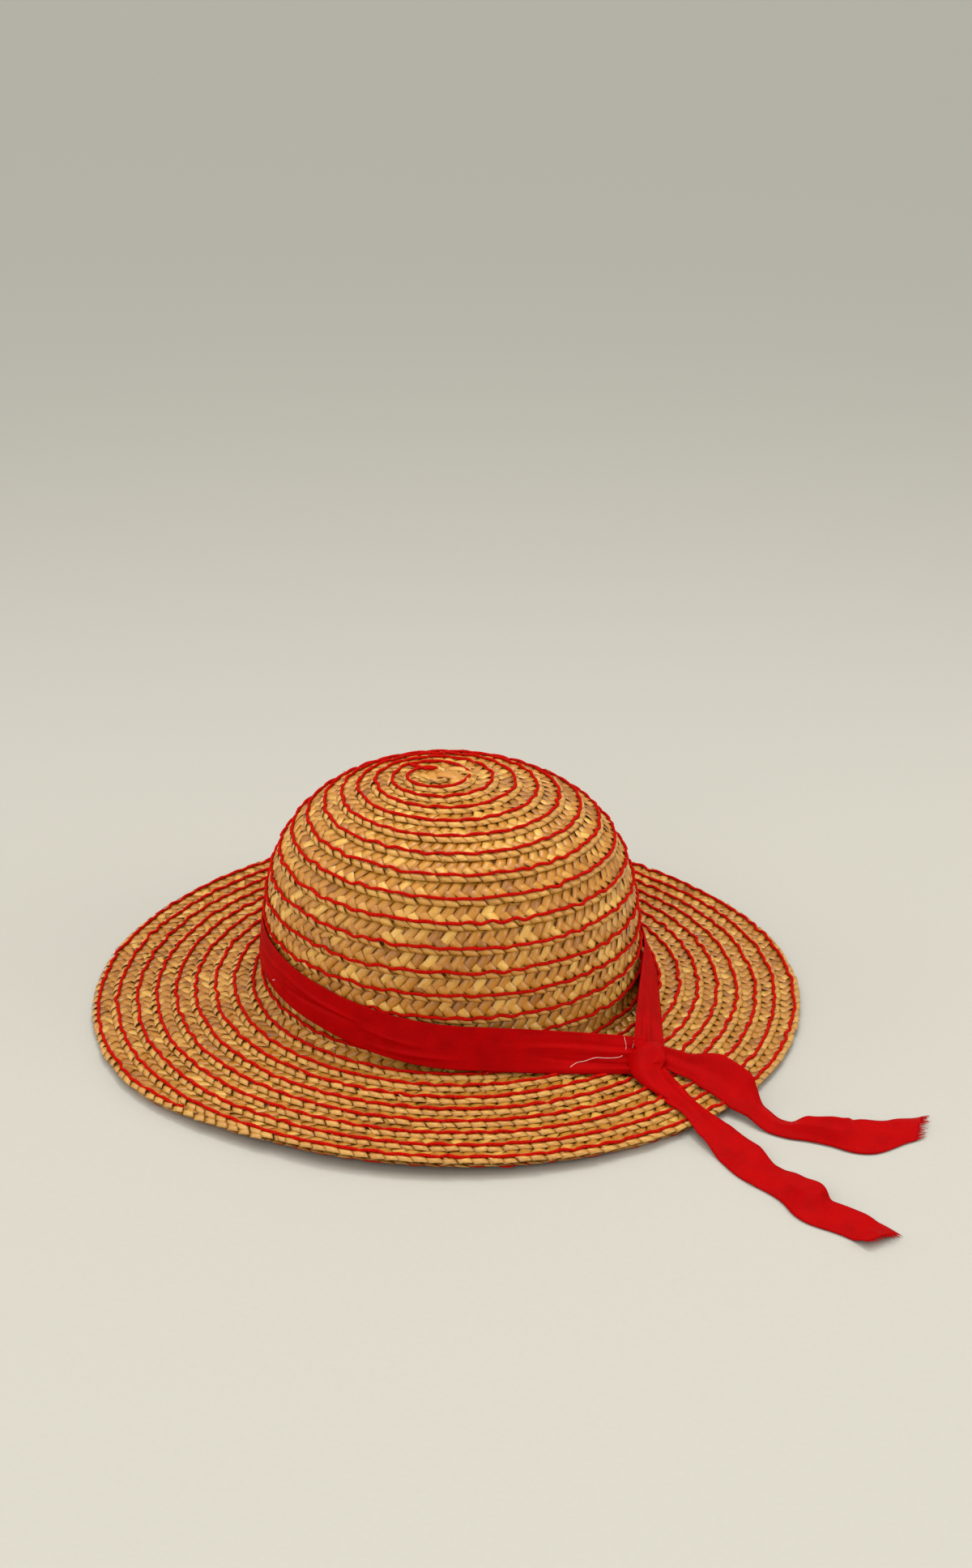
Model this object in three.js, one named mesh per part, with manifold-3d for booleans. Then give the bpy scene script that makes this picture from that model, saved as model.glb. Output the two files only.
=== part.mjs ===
// Sun hat: a crown and brim of straw braid, sewn row on row in one spiral, and a loosely
// knotted ribbon. Millimetres, +Z up, the front of the hat towards -Y, resting on z = 0.

import * as THREE from 'three';
import { ParametricGeometry } from 'three/addons/geometries/ParametricGeometry.js';
import { mergeVertices } from 'three/addons/utils/BufferGeometryUtils.js';
import Module from 'manifold-3d';

// Driving dimensions
const HEAD_OPENING = 180;
const CROWN_HEIGHT = 115.4;
const FOOT_HEIGHT = 17;
const WALL_FLARE = 4.6;
const CROWN_OFFSET = 1.5;
const BRIM_DIAMETER = 349;
const BRIM_FILLET = 9;
const STRAW_THICKNESS = 2.2;
const SETTLE = 0.8;
const LEDGE_HEIGHT = 1;
const LEDGE_RUN = 0.7;
const CROWN_ROW = 10.4;
const BRIM_ROW = 9.8;
const BRAID_END_STEP = 2;
const RIBBON_WIDTH = 20;
const RIBBON_THICKNESS = 1;
const KNOT_LENGTH = 20;
const KNOT_BREADTH = 19;
const KNOT_HEIGHT = 10;
const LONG_TAIL = 155;
const SHORT_TAIL = 143;
const GAP = 0.3;

// Directions seen from above, in degrees from +X towards +Y
const BRAID_END = -118;
const KNOT_DIRECTION = -43.5;
const BAND_HIGH_SIDE = 150;

// Crown outline exponents: how upright the wall stands and how round the dome is
const WALL_UPRIGHTNESS = 3.77;
const DOME_ROUNDNESS = 2.26;

// The knot lies on the brim this share of the brim's width out from the crown
const KNOT_OUT = 0.39;

// Height of the band's lower edge, as shares of the ribbon's width: its mean and its tilt
const BAND_MEAN = 0.91;
const BAND_TILT = 0.48;

// How far the band's lower edge leans out, as shares of the ribbon's width
const LEAN = { round: 0.1, leaving: 0.35, atKnot: 0.85 };

// Width of the band where the knot gathers it, as a share of the ribbon's width
const KNOT_GATHER = 0.7;

// Where the brim's edge rises off the surface: direction and half width in degrees, and the
// height as a share of the foot's height
const BRIM_WAVES = [
  { direction: -100, halfWidth: 68, rise: 0.45 },
  { direction: 12, halfWidth: 38, rise: 0.1 },
  { direction: 104, halfWidth: 42, rise: 0.14 },
];

// The tails from knot to tip. along: share of the tail's length. heading: degrees from +X.
// roll: degrees, the left edge up. width: share of the ribbon's width. crease: rise of the
// middle as a share of the width.
const LONG_TAIL_FOLDS = [
  { along: 0.0, heading: -59, roll: -3, width: 0.5, crease: 0.05 },
  { along: 0.12, heading: -61, roll: 1, width: 0.7, crease: 0.07 },
  { along: 0.24, heading: -56, roll: -9, width: 0.64, crease: 0.07 },
  { along: 0.36, heading: -60, roll: -1, width: 0.84, crease: 0.03 },
  { along: 0.48, heading: -63, roll: 12, width: 0.94, crease: 0.04 },
  { along: 0.58, heading: -47, roll: -1, width: 0.95, crease: 0.02 },
  { along: 0.66, heading: -52, roll: 8, width: 0.9, crease: 0.05 },
  { along: 0.74, heading: -70, roll: 20, width: 0.93, crease: 0.06 },
  { along: 0.82, heading: -32, roll: 4, width: 0.94, crease: 0.02 },
  { along: 0.9, heading: -38, roll: 5, width: 0.88, crease: 0.03 },
  { along: 1.0, heading: -52, roll: -10, width: 0.89, crease: 0.05 },
];
const SHORT_TAIL_FOLDS = [
  { along: 0.0, heading: -34, roll: 30, width: 0.48, crease: -0.03 },
  { along: 0.1, heading: -16, roll: 33, width: 0.6, crease: -0.04 },
  { along: 0.2, heading: -43, roll: 29, width: 0.97, crease: -0.05 },
  { along: 0.3, heading: -55, roll: 30, width: 0.94, crease: -0.03 },
  { along: 0.4, heading: -52, roll: 2, width: 0.58, crease: 0.06 },
  { along: 0.5, heading: -29, roll: 2, width: 0.64, crease: 0.07 },
  { along: 0.58, heading: -17, roll: 30, width: 0.63, crease: 0.05 },
  { along: 0.66, heading: -23, roll: 36, width: 0.7, crease: 0.03 },
  { along: 0.76, heading: 17, roll: 12, width: 1.08, crease: 0.03 },
  { along: 0.88, heading: 25, roll: 10, width: 0.78, crease: 0.06 },
  { along: 1.0, heading: 27, roll: 0, width: 0.76, crease: 0.08 },
];

// How far each tail starts to the left of the knot's middle, how much shorter its right edge
// is cut, both as shares of the ribbon's width
const LONG_TAIL_ROOT = { aside: -0.12, cut: 0.06 };
const SHORT_TAIL_ROOT = { aside: 0.24, cut: 0.68 };

// Fineness of the faceted surfaces
const COLUMNS = 60;
const BAND_STATIONS = 64;
const TAIL_STATIONS = 26;
const INSIDE_SHARES = [1, 0.86, 0.72, 0.58, 0.46, 0.34, 0.23, 0.12, 0];
const UNDERSIDE_SHARES = [0.75, 0.5, 0.3, 0.17, 0.09, 0];
const RESTING_STRIP = 6;

const fraction = (value) => value - Math.floor(value);
const radians = THREE.MathUtils.degToRad;
const clamp = THREE.MathUtils.clamp;
const lerp = THREE.MathUtils.lerp;
const smoothstep = THREE.MathUtils.smoothstep;

// Crown outline in the plane of radius and height, from the top down to the foot
const footRadius = HEAD_OPENING / 2 + STRAW_THICKNESS;
const domeHeight = CROWN_HEIGHT - FOOT_HEIGHT;
function wallRadius(rise) {
  const dome = (1 - rise ** WALL_UPRIGHTNESS) ** (1 / DOME_ROUNDNESS);
  return (footRadius - WALL_FLARE) * dome + WALL_FLARE * (1 - rise);
}
const OUTLINE_STEPS = 40;
const outlinePoints = Array.from({ length: OUTLINE_STEPS + 1 }, (_, index) => {
  const rise = Math.cos((index / OUTLINE_STEPS) * Math.PI / 2);
  return new THREE.Vector2(index === 0 ? 0 : wallRadius(rise), FOOT_HEIGHT + domeHeight * rise);
});
const crownOutline = new THREE.SplineCurve(outlinePoints);
const crownLength = crownOutline.getLength();

// Brim outline: a fillet out of the foot, then straight down to the edge
const wallSlope = Math.atan2(WALL_FLARE, domeHeight);
const filletX = footRadius + BRIM_FILLET * Math.cos(wallSlope);
const filletZ = FOOT_HEIGHT + BRIM_FILLET * Math.sin(wallSlope);
const edgeRadius = (BRIM_DIAMETER + BRAID_END_STEP) / 2;
const edgeHeight = STRAW_THICKNESS - SETTLE;
const edgeDistance = Math.hypot(edgeRadius - filletX, edgeHeight - filletZ);
const edgeAngle = Math.atan2(edgeHeight - filletZ, edgeRadius - filletX);
const filletEnd = edgeAngle - Math.acos(BRIM_FILLET / edgeDistance);
const brimOutline = new THREE.Path();
brimOutline.absarc(filletX, filletZ, BRIM_FILLET, Math.PI + wallSlope, 2 * Math.PI + filletEnd, false);
brimOutline.lineTo(edgeRadius, edgeHeight);
const brimLength = brimOutline.getLength();

// The spiral: turns counted from the top, each row's edge one turn after the last
const footTurns = crownLength / CROWN_ROW;
const innerEdge = brimLength - BRAID_END_STEP;
const endShare = fraction(BRAID_END / 360);
const lastTurns = Math.round(footTurns + innerEdge / BRIM_ROW - endShare) + endShare;
const brimPitch = innerEdge / (lastTurns - footTurns);

function waveRise(angle) {
  let rise = 0;
  for (const wave of BRIM_WAVES) {
    const turn = fraction(angle / (2 * Math.PI) - wave.direction / 360 + 0.5) - 0.5;
    const across = Math.abs(turn * 360) / wave.halfWidth;
    if (across < 1) rise += wave.rise * FOOT_HEIGHT * Math.cos(across * Math.PI / 2) ** 2;
  }
  return rise;
}

function onOutline(outline, share, lift, angle) {
  const point = outline.getPointAt(share);
  const tangent = outline.getTangentAt(share);
  const radius = Math.max(point.x - tangent.y * lift, 0);
  const height = point.y + tangent.x * lift;
  return new THREE.Vector3(radius * Math.cos(angle), radius * Math.sin(angle), height);
}

function crownPoint(distance, lift, angle) {
  const share = clamp(distance / crownLength, 0, 1);
  const point = share === 0 ? new THREE.Vector3(0, 0, CROWN_HEIGHT + lift)
    : onOutline(crownOutline, share, lift, angle);
  point.x += CROWN_OFFSET * clamp((CROWN_HEIGHT - point.z) / domeHeight, 0, 1);
  return point;
}

function brimPoint(distance, lift, angle) {
  const share = clamp(distance / brimLength, 0, 1);
  const point = onOutline(brimOutline, share, lift, angle);
  point.x += CROWN_OFFSET * (1 - share);
  point.z = Math.max(point.z + waveRise(angle) * share ** 2, 0);
  return point;
}

// Edge of the brim in each direction: it grows over the last turn and drops where the braid ends
function brimEdge(turn) {
  return brimLength - BRAID_END_STEP * (1 - fraction(turn - endShare));
}

// Merges shared corners, drops faces that have shrunk to nothing and turns the rest outwards
function weld(grid) {
  grid.deleteAttribute('normal');
  grid.deleteAttribute('uv');
  const merged = mergeVertices(grid, 1e-3);
  const corners = merged.index.array;
  const position = merged.attributes.position;
  const [a, b, c] = [new THREE.Vector3(), new THREE.Vector3(), new THREE.Vector3()];
  const kept = [];
  let volume = 0;
  for (let face = 0; face < corners.length; face += 3) {
    const [i, j, k] = corners.subarray(face, face + 3);
    if (i === j || j === k || k === i) continue;
    kept.push([i, j, k]);
    a.fromBufferAttribute(position, i);
    b.fromBufferAttribute(position, j);
    c.fromBufferAttribute(position, k);
    volume += a.dot(b.cross(c));
  }
  merged.setIndex(kept.flatMap(([i, j, k]) => (volume > 0 ? [i, j, k] : [i, k, j])));
  merged.computeVertexNormals();
  return merged;
}

// A closed surface from a grid of points: columns run one way and places the other
function gridSurface(columns, places, pointAt) {
  const shape = (u, v, target) => {
    target.copy(pointAt(Math.round(u * columns), Math.round(v * places)));
  };
  return weld(new ParametricGeometry(shape, columns, places));
}

// Crown: stepped rows outside from the top to the foot, plain inside from the foot to the top
function makeCrown() {
  const lastRow = Math.ceil(footTurns);
  const outside = 2 * (lastRow + 1);
  const pointAt = (column, place) => {
    const turn = (column % COLUMNS) / COLUMNS;
    const angle = turn * 2 * Math.PI;
    if (place > outside) {
      const share = INSIDE_SHARES[place - outside - 1];
      return crownPoint(share * crownLength, -STRAW_THICKNESS, angle);
    }
    if (place === 0) return crownPoint(0, 0, angle);
    const row = Math.floor((place - 1) / 2);
    const isFoot = place % 2 === 0;
    const rowEdge = (row + column / COLUMNS) * CROWN_ROW;
    const nearTop = Math.min(rowEdge / CROWN_ROW, 1);
    const distance = isFoot ? rowEdge + LEDGE_RUN * nearTop : rowEdge;
    if (distance >= crownLength) {
      return crownPoint(crownLength, LEDGE_HEIGHT * fraction(footTurns - turn), angle);
    }
    return crownPoint(distance, isFoot ? 0 : LEDGE_HEIGHT * nearTop, angle);
  };
  return gridSurface(COLUMNS, outside + INSIDE_SHARES.length, pointAt);
}

// Brim: stepped rows on top from the foot to the edge, plain underneath back to the foot
function makeBrim() {
  const firstRow = Math.floor(footTurns);
  const lastRow = Math.ceil(lastTurns);
  const top = 1 + 2 * (lastRow - firstRow + 1);
  const underside = 2 + UNDERSIDE_SHARES.length;
  const pointAt = (column, rawPlace) => {
    const place = rawPlace % (top + underside);
    const turn = (column % COLUMNS) / COLUMNS;
    const angle = turn * 2 * Math.PI;
    const edge = brimEdge(turn);
    if (place >= top) {
      const under = place - top;
      const strip = edge - RESTING_STRIP;
      const inward = under < 2 ? [edge, strip][under] : UNDERSIDE_SHARES[under - 2] * strip;
      return brimPoint(Math.max(inward, GAP), -STRAW_THICKNESS, angle);
    }
    const turns = firstRow + Math.floor((place - 1) / 2) + column / COLUMNS;
    const isFoot = place > 0 && place % 2 === 0;
    const distance = (turns - footTurns) * brimPitch + (isFoot ? LEDGE_RUN : 0);
    if (place === 0 || distance <= GAP) {
      return brimPoint(GAP, LEDGE_HEIGHT * fraction(footTurns - turn), angle);
    }
    if (turns >= lastTurns || distance >= edge) return brimPoint(edge, LEDGE_HEIGHT, angle);
    return brimPoint(distance, isFoot ? 0 : LEDGE_HEIGHT, angle);
  };
  return gridSurface(COLUMNS, top + underside, pointAt);
}

// Height of what a ribbon lies on: the brim's rows, then a soft fall to the surface outside
const flatStart = brimOutline.curves[0].getLength();
const flatRadius = brimOutline.curves[1].v1.x;
const flatHeight = brimOutline.curves[1].v1.y;
const EDGE_FALL = 16;
function restingHeight(x, y) {
  const angle = Math.atan2(y, x);
  const outwardAt = (radius) => clamp((radius - flatRadius) / (edgeRadius - flatRadius), 0, 1);
  const offset = CROWN_OFFSET * (1 - outwardAt(Math.hypot(x, y)));
  const radius = Math.hypot(x - offset, y);
  const outward = outwardAt(radius);
  const distance = lerp(flatStart, brimLength, outward);
  const inFillet = Math.min(filletX - radius, BRIM_FILLET);
  const base = radius < flatRadius ? filletZ - Math.sqrt(BRIM_FILLET ** 2 - inFillet ** 2)
    : lerp(flatHeight, edgeHeight, outward);
  const brimTop = base + LEDGE_HEIGHT + waveRise(angle) * (distance / brimLength) ** 2;
  return brimTop * (1 - smoothstep(radius, edgeRadius + GAP, edgeRadius + EDGE_FALL));
}

// The knot rests on the brim beside the crown
const knotReach = lerp(flatRadius, edgeRadius, KNOT_OUT) - CROWN_OFFSET;
const knotAngle = radians(KNOT_DIRECTION);
const knotX = knotReach * Math.cos(knotAngle);
const knotY = knotReach * Math.sin(knotAngle);
const knotInner = knotReach - KNOT_BREADTH / 2;
const knotBase = restingHeight(knotInner * Math.cos(knotAngle), knotInner * Math.sin(knotAngle)) + GAP;
const knotZ = knotBase + KNOT_HEIGHT / 2;

// Rounded, pinched lump: a sphere pushed towards a box and drawn in round its middle
function knotShape(grow) {
  const shape = new THREE.SphereGeometry(1, 18, 12);
  const position = shape.attributes.position;
  const BOXINESS = 0.62;
  const PINCH = 0.1;
  const WRINKLES = 5;
  const square = (value) => Math.sign(value) * Math.abs(value) ** BOXINESS;
  const halves = [KNOT_LENGTH, KNOT_BREADTH, KNOT_HEIGHT].map((size) => size / 2 + grow);
  for (let index = 0; index < position.count; index += 1) {
    const [x, y, z] = [position.getX(index), position.getY(index), position.getZ(index)];
    const wrinkle = 1 - PINCH * Math.cos(WRINKLES * x) ** 2 * (1 - Math.abs(x));
    position.setXYZ(
      index,
      halves[0] * square(x),
      halves[1] * square(y) * wrinkle,
      halves[2] * square(z) * wrinkle,
    );
  }
  const placed = weld(shape);
  placed.rotateZ(knotAngle);
  placed.translate(knotX, knotY, knotZ);
  return placed;
}

// A strip of ribbon: six corners round each section, closed at both ends
function ribbonStrip(stations, sectionAt) {
  const pointAt = (corner, place) => {
    const station = clamp(place - 1, 0, stations);
    const section = sectionAt(station / stations);
    const half = section.up.clone().multiplyScalar(RIBBON_THICKNESS / 2);
    const closed = place === 0 || place === stations + 2;
    if (closed) return section.middle.clone();
    const index = corner % 6;
    const line = [section.left, section.middle, section.right][index < 3 ? index : 5 - index];
    return index < 3 ? line.clone().add(half) : line.clone().sub(half);
  };
  return gridSurface(6, stations + 2, pointAt);
}

// The band's way seen from above: straight from the knot to the crown, round it, straight back
const bandClearance = LEDGE_HEIGHT + 2 * GAP + RIBBON_THICKNESS / 2;
const bandRadius = footRadius + bandClearance + (RIBBON_WIDTH / 2) * LEAN.leaving;
const knotFromCrown = new THREE.Vector2(knotX - CROWN_OFFSET, knotY);
const crownToKnot = knotFromCrown.length();
const leavingAngle = Math.acos(clamp(bandRadius / crownToKnot, 0, 1));
const straightRun = Math.sqrt(crownToKnot ** 2 - bandRadius ** 2);
const towardsKnot = knotFromCrown.angle();
const roundStart = towardsKnot + leavingAngle;
const roundEnd = towardsKnot - leavingAngle + 2 * Math.PI;
const KNOT_SEAT = 0.12;
const bandPlan = new THREE.Path();
const tangentPoint = (angle) => new THREE.Vector2(
  CROWN_OFFSET + bandRadius * Math.cos(angle),
  bandRadius * Math.sin(angle),
);
const knotPlan = new THREE.Vector2(knotX, knotY);
const seatShare = KNOT_SEAT * KNOT_LENGTH / straightRun;
const bandStart = knotPlan.clone().lerp(tangentPoint(roundStart), seatShare);
const bandStop = knotPlan.clone().lerp(tangentPoint(roundEnd), seatShare);
bandPlan.moveTo(bandStart.x, bandStart.y);
bandPlan.lineTo(tangentPoint(roundStart).x, tangentPoint(roundStart).y);
bandPlan.absarc(CROWN_OFFSET, 0, bandRadius, roundStart, roundEnd, false);
bandPlan.lineTo(bandStop.x, bandStop.y);
const bandLength = bandPlan.getLength();

function bandSection(share) {
  const place = bandPlan.getPointAt(share);
  const tangent = bandPlan.getTangentAt(share);
  const outward = new THREE.Vector3(tangent.y, -tangent.x, 0);
  const fromKnot = Math.min(share, 1 - share) * bandLength;
  const nearKnot = clamp(1 - fromKnot / straightRun, 0, 1);
  const settled = smoothstep(fromKnot, straightRun, 2 * straightRun);
  const lean = nearKnot > 0 ? lerp(LEAN.leaving, LEAN.atKnot, nearKnot)
    : lerp(LEAN.leaving, LEAN.round, settled);
  const direction = Math.atan2(place.y, place.x) - radians(BAND_HIGH_SIDE);
  const halfWidth = (RIBBON_WIDTH / 2) * lerp(1, KNOT_GATHER, nearKnot ** 2);
  const halfRise = halfWidth * Math.sqrt(1 - lean ** 2);
  const halfLean = halfWidth * lean;
  const onBrim = restingHeight(place.x + outward.x * halfLean, place.y + outward.y * halfLean);
  const tilted = RIBBON_WIDTH * (BAND_MEAN + BAND_TILT * Math.cos(direction));
  const lowEdge = Math.max(tilted, onBrim + GAP + RIBBON_THICKNESS / 2);
  const wallRise = clamp((lowEdge + 2 * halfRise - FOOT_HEIGHT) / domeHeight, 0, 1);
  const hugging = wallRadius(wallRise) + bandClearance + halfLean;
  const inward = (bandRadius - hugging) * settled;
  const middle = new THREE.Vector3(
    place.x - outward.x * inward,
    place.y - outward.y * inward,
    lowEdge + halfRise,
  );
  const reach = outward.clone().multiplyScalar(halfLean).setZ(-halfRise);
  const up = outward.clone().multiplyScalar(halfRise).setZ(halfLean).normalize();
  return { left: middle.clone().sub(reach), middle, right: middle.clone().add(reach), up };
}

function foldAt(folds, share) {
  const next = folds.findIndex((fold, index) => index > 0 && share <= fold.along);
  const [before, after] = [folds[next - 1], folds[next]];
  const blend = smoothstep(share, before.along, after.along);
  const mixed = {};
  for (const name of Object.keys(before)) mixed[name] = lerp(before[name], after[name], blend);
  return mixed;
}

// A tail: its headings are added up into a way seen from above, and its height at each place
// is what it lies on, falling from the knot's middle over the first stretch
const ROOT_FALL = 0.9;
function tailSections(folds, length, root) {
  const STEPS = 120;
  const aside = knotAngle + Math.PI / 2;
  const start = new THREE.Vector2(
    knotX + root.aside * RIBBON_WIDTH * Math.cos(aside),
    knotY + root.aside * RIBBON_WIDTH * Math.sin(aside),
  );
  const way = [start];
  for (let step = 0; step < STEPS; step += 1) {
    const heading = radians(foldAt(folds, (step + 0.5) / STEPS).heading);
    const stride = new THREE.Vector2(Math.cos(heading), Math.sin(heading));
    way.push(way[step].clone().addScaledVector(stride, length / STEPS));
  }
  const placeAt = (share) => {
    const exact = clamp(share, 0, 1) * STEPS;
    const step = Math.min(Math.floor(exact), STEPS - 1);
    return way[step].clone().lerp(way[step + 1], exact - step);
  };
  return (share) => {
    const cutShort = (root.cut * RIBBON_WIDTH / length) * share;
    const acrossAt = (side) => {
      const along = share - (cutShort * (1 - side)) / 2;
      const fold = foldAt(folds, clamp(along, 0, 1));
      const heading = radians(fold.heading);
      const roll = radians(fold.roll);
      const place = placeAt(along);
      const half = (RIBBON_WIDTH * fold.width) / 2;
      const left = new THREE.Vector2(-Math.sin(heading), Math.cos(heading));
      const offset = left.clone().multiplyScalar(half * Math.cos(roll));
      const heights = [-1, -0.5, 0, 0.5, 1].map((where) => {
        const spot = place.clone().addScaledVector(offset, where);
        return restingHeight(spot.x, spot.y) - where * half * Math.sin(roll);
      });
      const crease = Math.abs(fold.crease) * RIBBON_WIDTH;
      const resting = Math.max(...heights) + GAP + RIBBON_THICKNESS / 2 + (fold.crease < 0 ? crease : 0);
      const rootShare = smoothstep(along * length, 0, ROOT_FALL * KNOT_LENGTH);
      const height = Math.max(resting, lerp(knotZ, resting, rootShare));
      const spot = place.clone().addScaledVector(offset, side);
      const rise = side === 0 ? fold.crease * RIBBON_WIDTH : side * half * Math.sin(roll);
      const point = new THREE.Vector3(spot.x, spot.y, height + rise);
      const up = new THREE.Vector3(left.x, left.y, 0).multiplyScalar(-Math.sin(roll)).setZ(Math.cos(roll));
      return { point, up };
    };
    const middle = acrossAt(0);
    return { left: acrossAt(1).point, middle: middle.point, right: acrossAt(-1).point, up: middle.up };
  };
}

const wasm = await Module();
wasm.setup();

function toSolid(shape) {
  return new wasm.Manifold(new wasm.Mesh({
    numProp: 3,
    vertProperties: shape.attributes.position.array,
    triVerts: new Uint32Array(shape.index.array),
  }));
}

// The ribbon goes into the knot, so each strip is cut back to the knot's face and a small gap
const knotRoom = toSolid(knotShape(GAP));
const CUT_TOLERANCE = 0.02;
function cutAtKnot(shape) {
  const cut = toSolid(shape).subtract(knotRoom).simplify(CUT_TOLERANCE);
  const pieces = cut.decompose().sort((one, other) => other.volume() - one.volume());
  const mesh = pieces[0].getMesh();
  const trimmed = new THREE.BufferGeometry();
  trimmed.setAttribute('position', new THREE.BufferAttribute(mesh.vertProperties, 3));
  trimmed.setIndex(new THREE.BufferAttribute(mesh.triVerts, 1));
  trimmed.computeVertexNormals();
  return trimmed;
}

const straw = new THREE.MeshStandardMaterial({ color: 0xc9974f, roughness: 0.5, metalness: 0 });
const strawBrim = new THREE.MeshStandardMaterial({ color: 0xc08d49, roughness: 0.55, metalness: 0 });
const redRibbon = new THREE.MeshStandardMaterial({ color: 0xc4000c, roughness: 0.6, metalness: 0 });

const hat = new THREE.Group();
function addPiece(name, shape, material) {
  const piece = new THREE.Mesh(shape, material);
  piece.name = name;
  hat.add(piece);
}

const longTail = tailSections(LONG_TAIL_FOLDS, LONG_TAIL, LONG_TAIL_ROOT);
const shortTail = tailSections(SHORT_TAIL_FOLDS, SHORT_TAIL, SHORT_TAIL_ROOT);
addPiece('crown', makeCrown(), straw);
addPiece('brim', makeBrim(), strawBrim);
addPiece('band', cutAtKnot(ribbonStrip(BAND_STATIONS, bandSection)), redRibbon);
addPiece('knot', knotShape(0), redRibbon);
addPiece('tail_long', cutAtKnot(ribbonStrip(TAIL_STATIONS, longTail)), redRibbon);
addPiece('tail_short', cutAtKnot(ribbonStrip(TAIL_STATIONS, shortTail)), redRibbon);

// The origin is under the middle of the whole hat, on the surface that it rests on
const bounds = new THREE.Box3().setFromObject(hat);
const middle = bounds.getCenter(new THREE.Vector3());
hat.position.set(-middle.x, -middle.y, -bounds.min.z);
hat.updateMatrixWorld(true);

export default hat;
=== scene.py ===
"""Looks of a straw sun hat, built round its packed solids: sewn plait, thread and ribbon."""

import math
import types

import bmesh
import bpy
import numpy as np
from mathutils import Matrix, Vector
from mathutils.bvhtree import BVHTree


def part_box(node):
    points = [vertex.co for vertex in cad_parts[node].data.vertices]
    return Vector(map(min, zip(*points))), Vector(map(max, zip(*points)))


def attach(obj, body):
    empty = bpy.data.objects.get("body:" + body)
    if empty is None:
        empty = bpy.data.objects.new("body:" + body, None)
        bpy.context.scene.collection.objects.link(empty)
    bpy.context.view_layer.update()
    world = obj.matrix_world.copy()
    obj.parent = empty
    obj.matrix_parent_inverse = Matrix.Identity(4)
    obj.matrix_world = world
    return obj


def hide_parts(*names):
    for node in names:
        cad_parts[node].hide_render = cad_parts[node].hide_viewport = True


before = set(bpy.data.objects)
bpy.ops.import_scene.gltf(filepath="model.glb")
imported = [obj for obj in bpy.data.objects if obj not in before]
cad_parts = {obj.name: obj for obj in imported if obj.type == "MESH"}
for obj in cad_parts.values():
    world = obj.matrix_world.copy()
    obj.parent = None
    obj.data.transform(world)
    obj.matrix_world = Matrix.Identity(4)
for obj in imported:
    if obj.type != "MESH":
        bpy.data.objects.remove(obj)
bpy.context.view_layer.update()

bl_info = {
    "name": "Straw Sun Hat",
    "version": (1, 0, 0),
    "blender": (4, 5, 0),
    "location": "View3D > Sidebar > Sun Hat",
    "description": "Builds the sewn straw plait, the thread and the knotted ribbon of a sun hat",
    "category": "Object",
}

MM = 0.001

# The hat's own middle, under the centre of the brim, in the row's frame
crown_low, crown_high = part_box("crown")
CROWN_OFFSET = 1.5
HAT_MIDDLE = Vector(
    (
        (crown_low.x + crown_high.x) / 2 - CROWN_OFFSET * MM,
        (crown_low.y + crown_high.y) / 2,
        0,
    )
)


# Sizes and colours that a user would change


def length(name, description, millimetres):
    return bpy.props.FloatProperty(
        name=name,
        description=description,
        default=millimetres * MM,
        min=0,
        max=1,
        precision=4,
        unit="LENGTH",
    )


def colour(name, description, value):
    return bpy.props.FloatVectorProperty(
        name=name,
        description=description,
        default=value,
        size=3,
        min=0,
        max=1,
        subtype="COLOR",
    )


class StrawHatSizes(bpy.types.PropertyGroup):
    """Sizes of the straw body"""

    head_opening: length("Head opening", "Width inside the foot of the crown", 180)
    crown_height: length("Crown height", "Top of the crown over the floor", 114.4)
    foot_height: length("Foot height", "Foot of the crown over the floor", 17)
    wall_flare: length("Wall flare", "How far the wall leans out downwards", 4.6)
    brim_diameter: length("Brim diameter", "Width of the brim without the braid's end", 357)
    brim_fillet: length("Brim fillet", "Radius where the brim turns up", 9)
    thickness: length("Straw thickness", "Two layers of plait", 2.2)
    settle: length("Settling", "How far the edge is pressed onto the floor", 0.8)
    crown_row: length("Crown row", "Distance between the crown's rows", 10.4)
    brim_row: length("Brim row", "Distance between the brim's rows", 9.8)
    braid_end_step: length("End step", "Growth of the edge over the last turn", 2)


class PlaitLook(bpy.types.PropertyGroup):
    """Shape and colours of the straw plait"""

    pitch: length("Plait pitch", "Length of one crossing along the row", 6.1)
    strip: length("Strip width", "Width of a straw strip", 4.5)
    rise: length("Edge rise", "Lift of a row's edge over the next row", 1.55)
    sink: length("Sinking", "How far the crown's plait lies under its outline", 0.9)
    light: colour("Light straw", "Palest straws", (0.78, 0.48, 0.105))
    gold: colour("Golden straw", "Most straws", (0.53, 0.237, 0.027))
    dark: colour("Dark straw", "Darkest straws", (0.30, 0.11, 0.012))
    fold: colour("Folded edge", "Straw at the rows' folded edges", (0.68, 0.385, 0.095))


class ThreadLook(bpy.types.PropertyGroup):
    """The sewing thread"""

    width: length("Thread width", "Thickness of the yarn", 1.55)
    inset: length("Thread inset", "Distance from the row's edge to the thread", 3.1)
    wander: length("Wander", "How far the stitches swing to each side", 0.55)
    red: colour("Thread red", "Colour of the yarn", (0.47, 0.0035, 0.0006))


class RibbonLook(bpy.types.PropertyGroup):
    """The ribbon"""

    width: length("Ribbon width", "Flat width of the ribbon", 20)
    cloth: length("Cloth thickness", "Thickness of the cloth", 0.45)
    knot_length: length("Knot length", "Knot, away from the crown", 20)
    knot_breadth: length("Knot breadth", "Knot, along the brim", 19)
    knot_height: length("Knot height", "Knot, upwards", 10)
    long_tail: length("Long tail", "Length of the front tail", 155)
    short_tail: length("Short tail", "Length of the back tail", 143)
    red: colour("Ribbon red", "Colour of the cloth", (0.4, 0.0, 0.0005))


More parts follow.
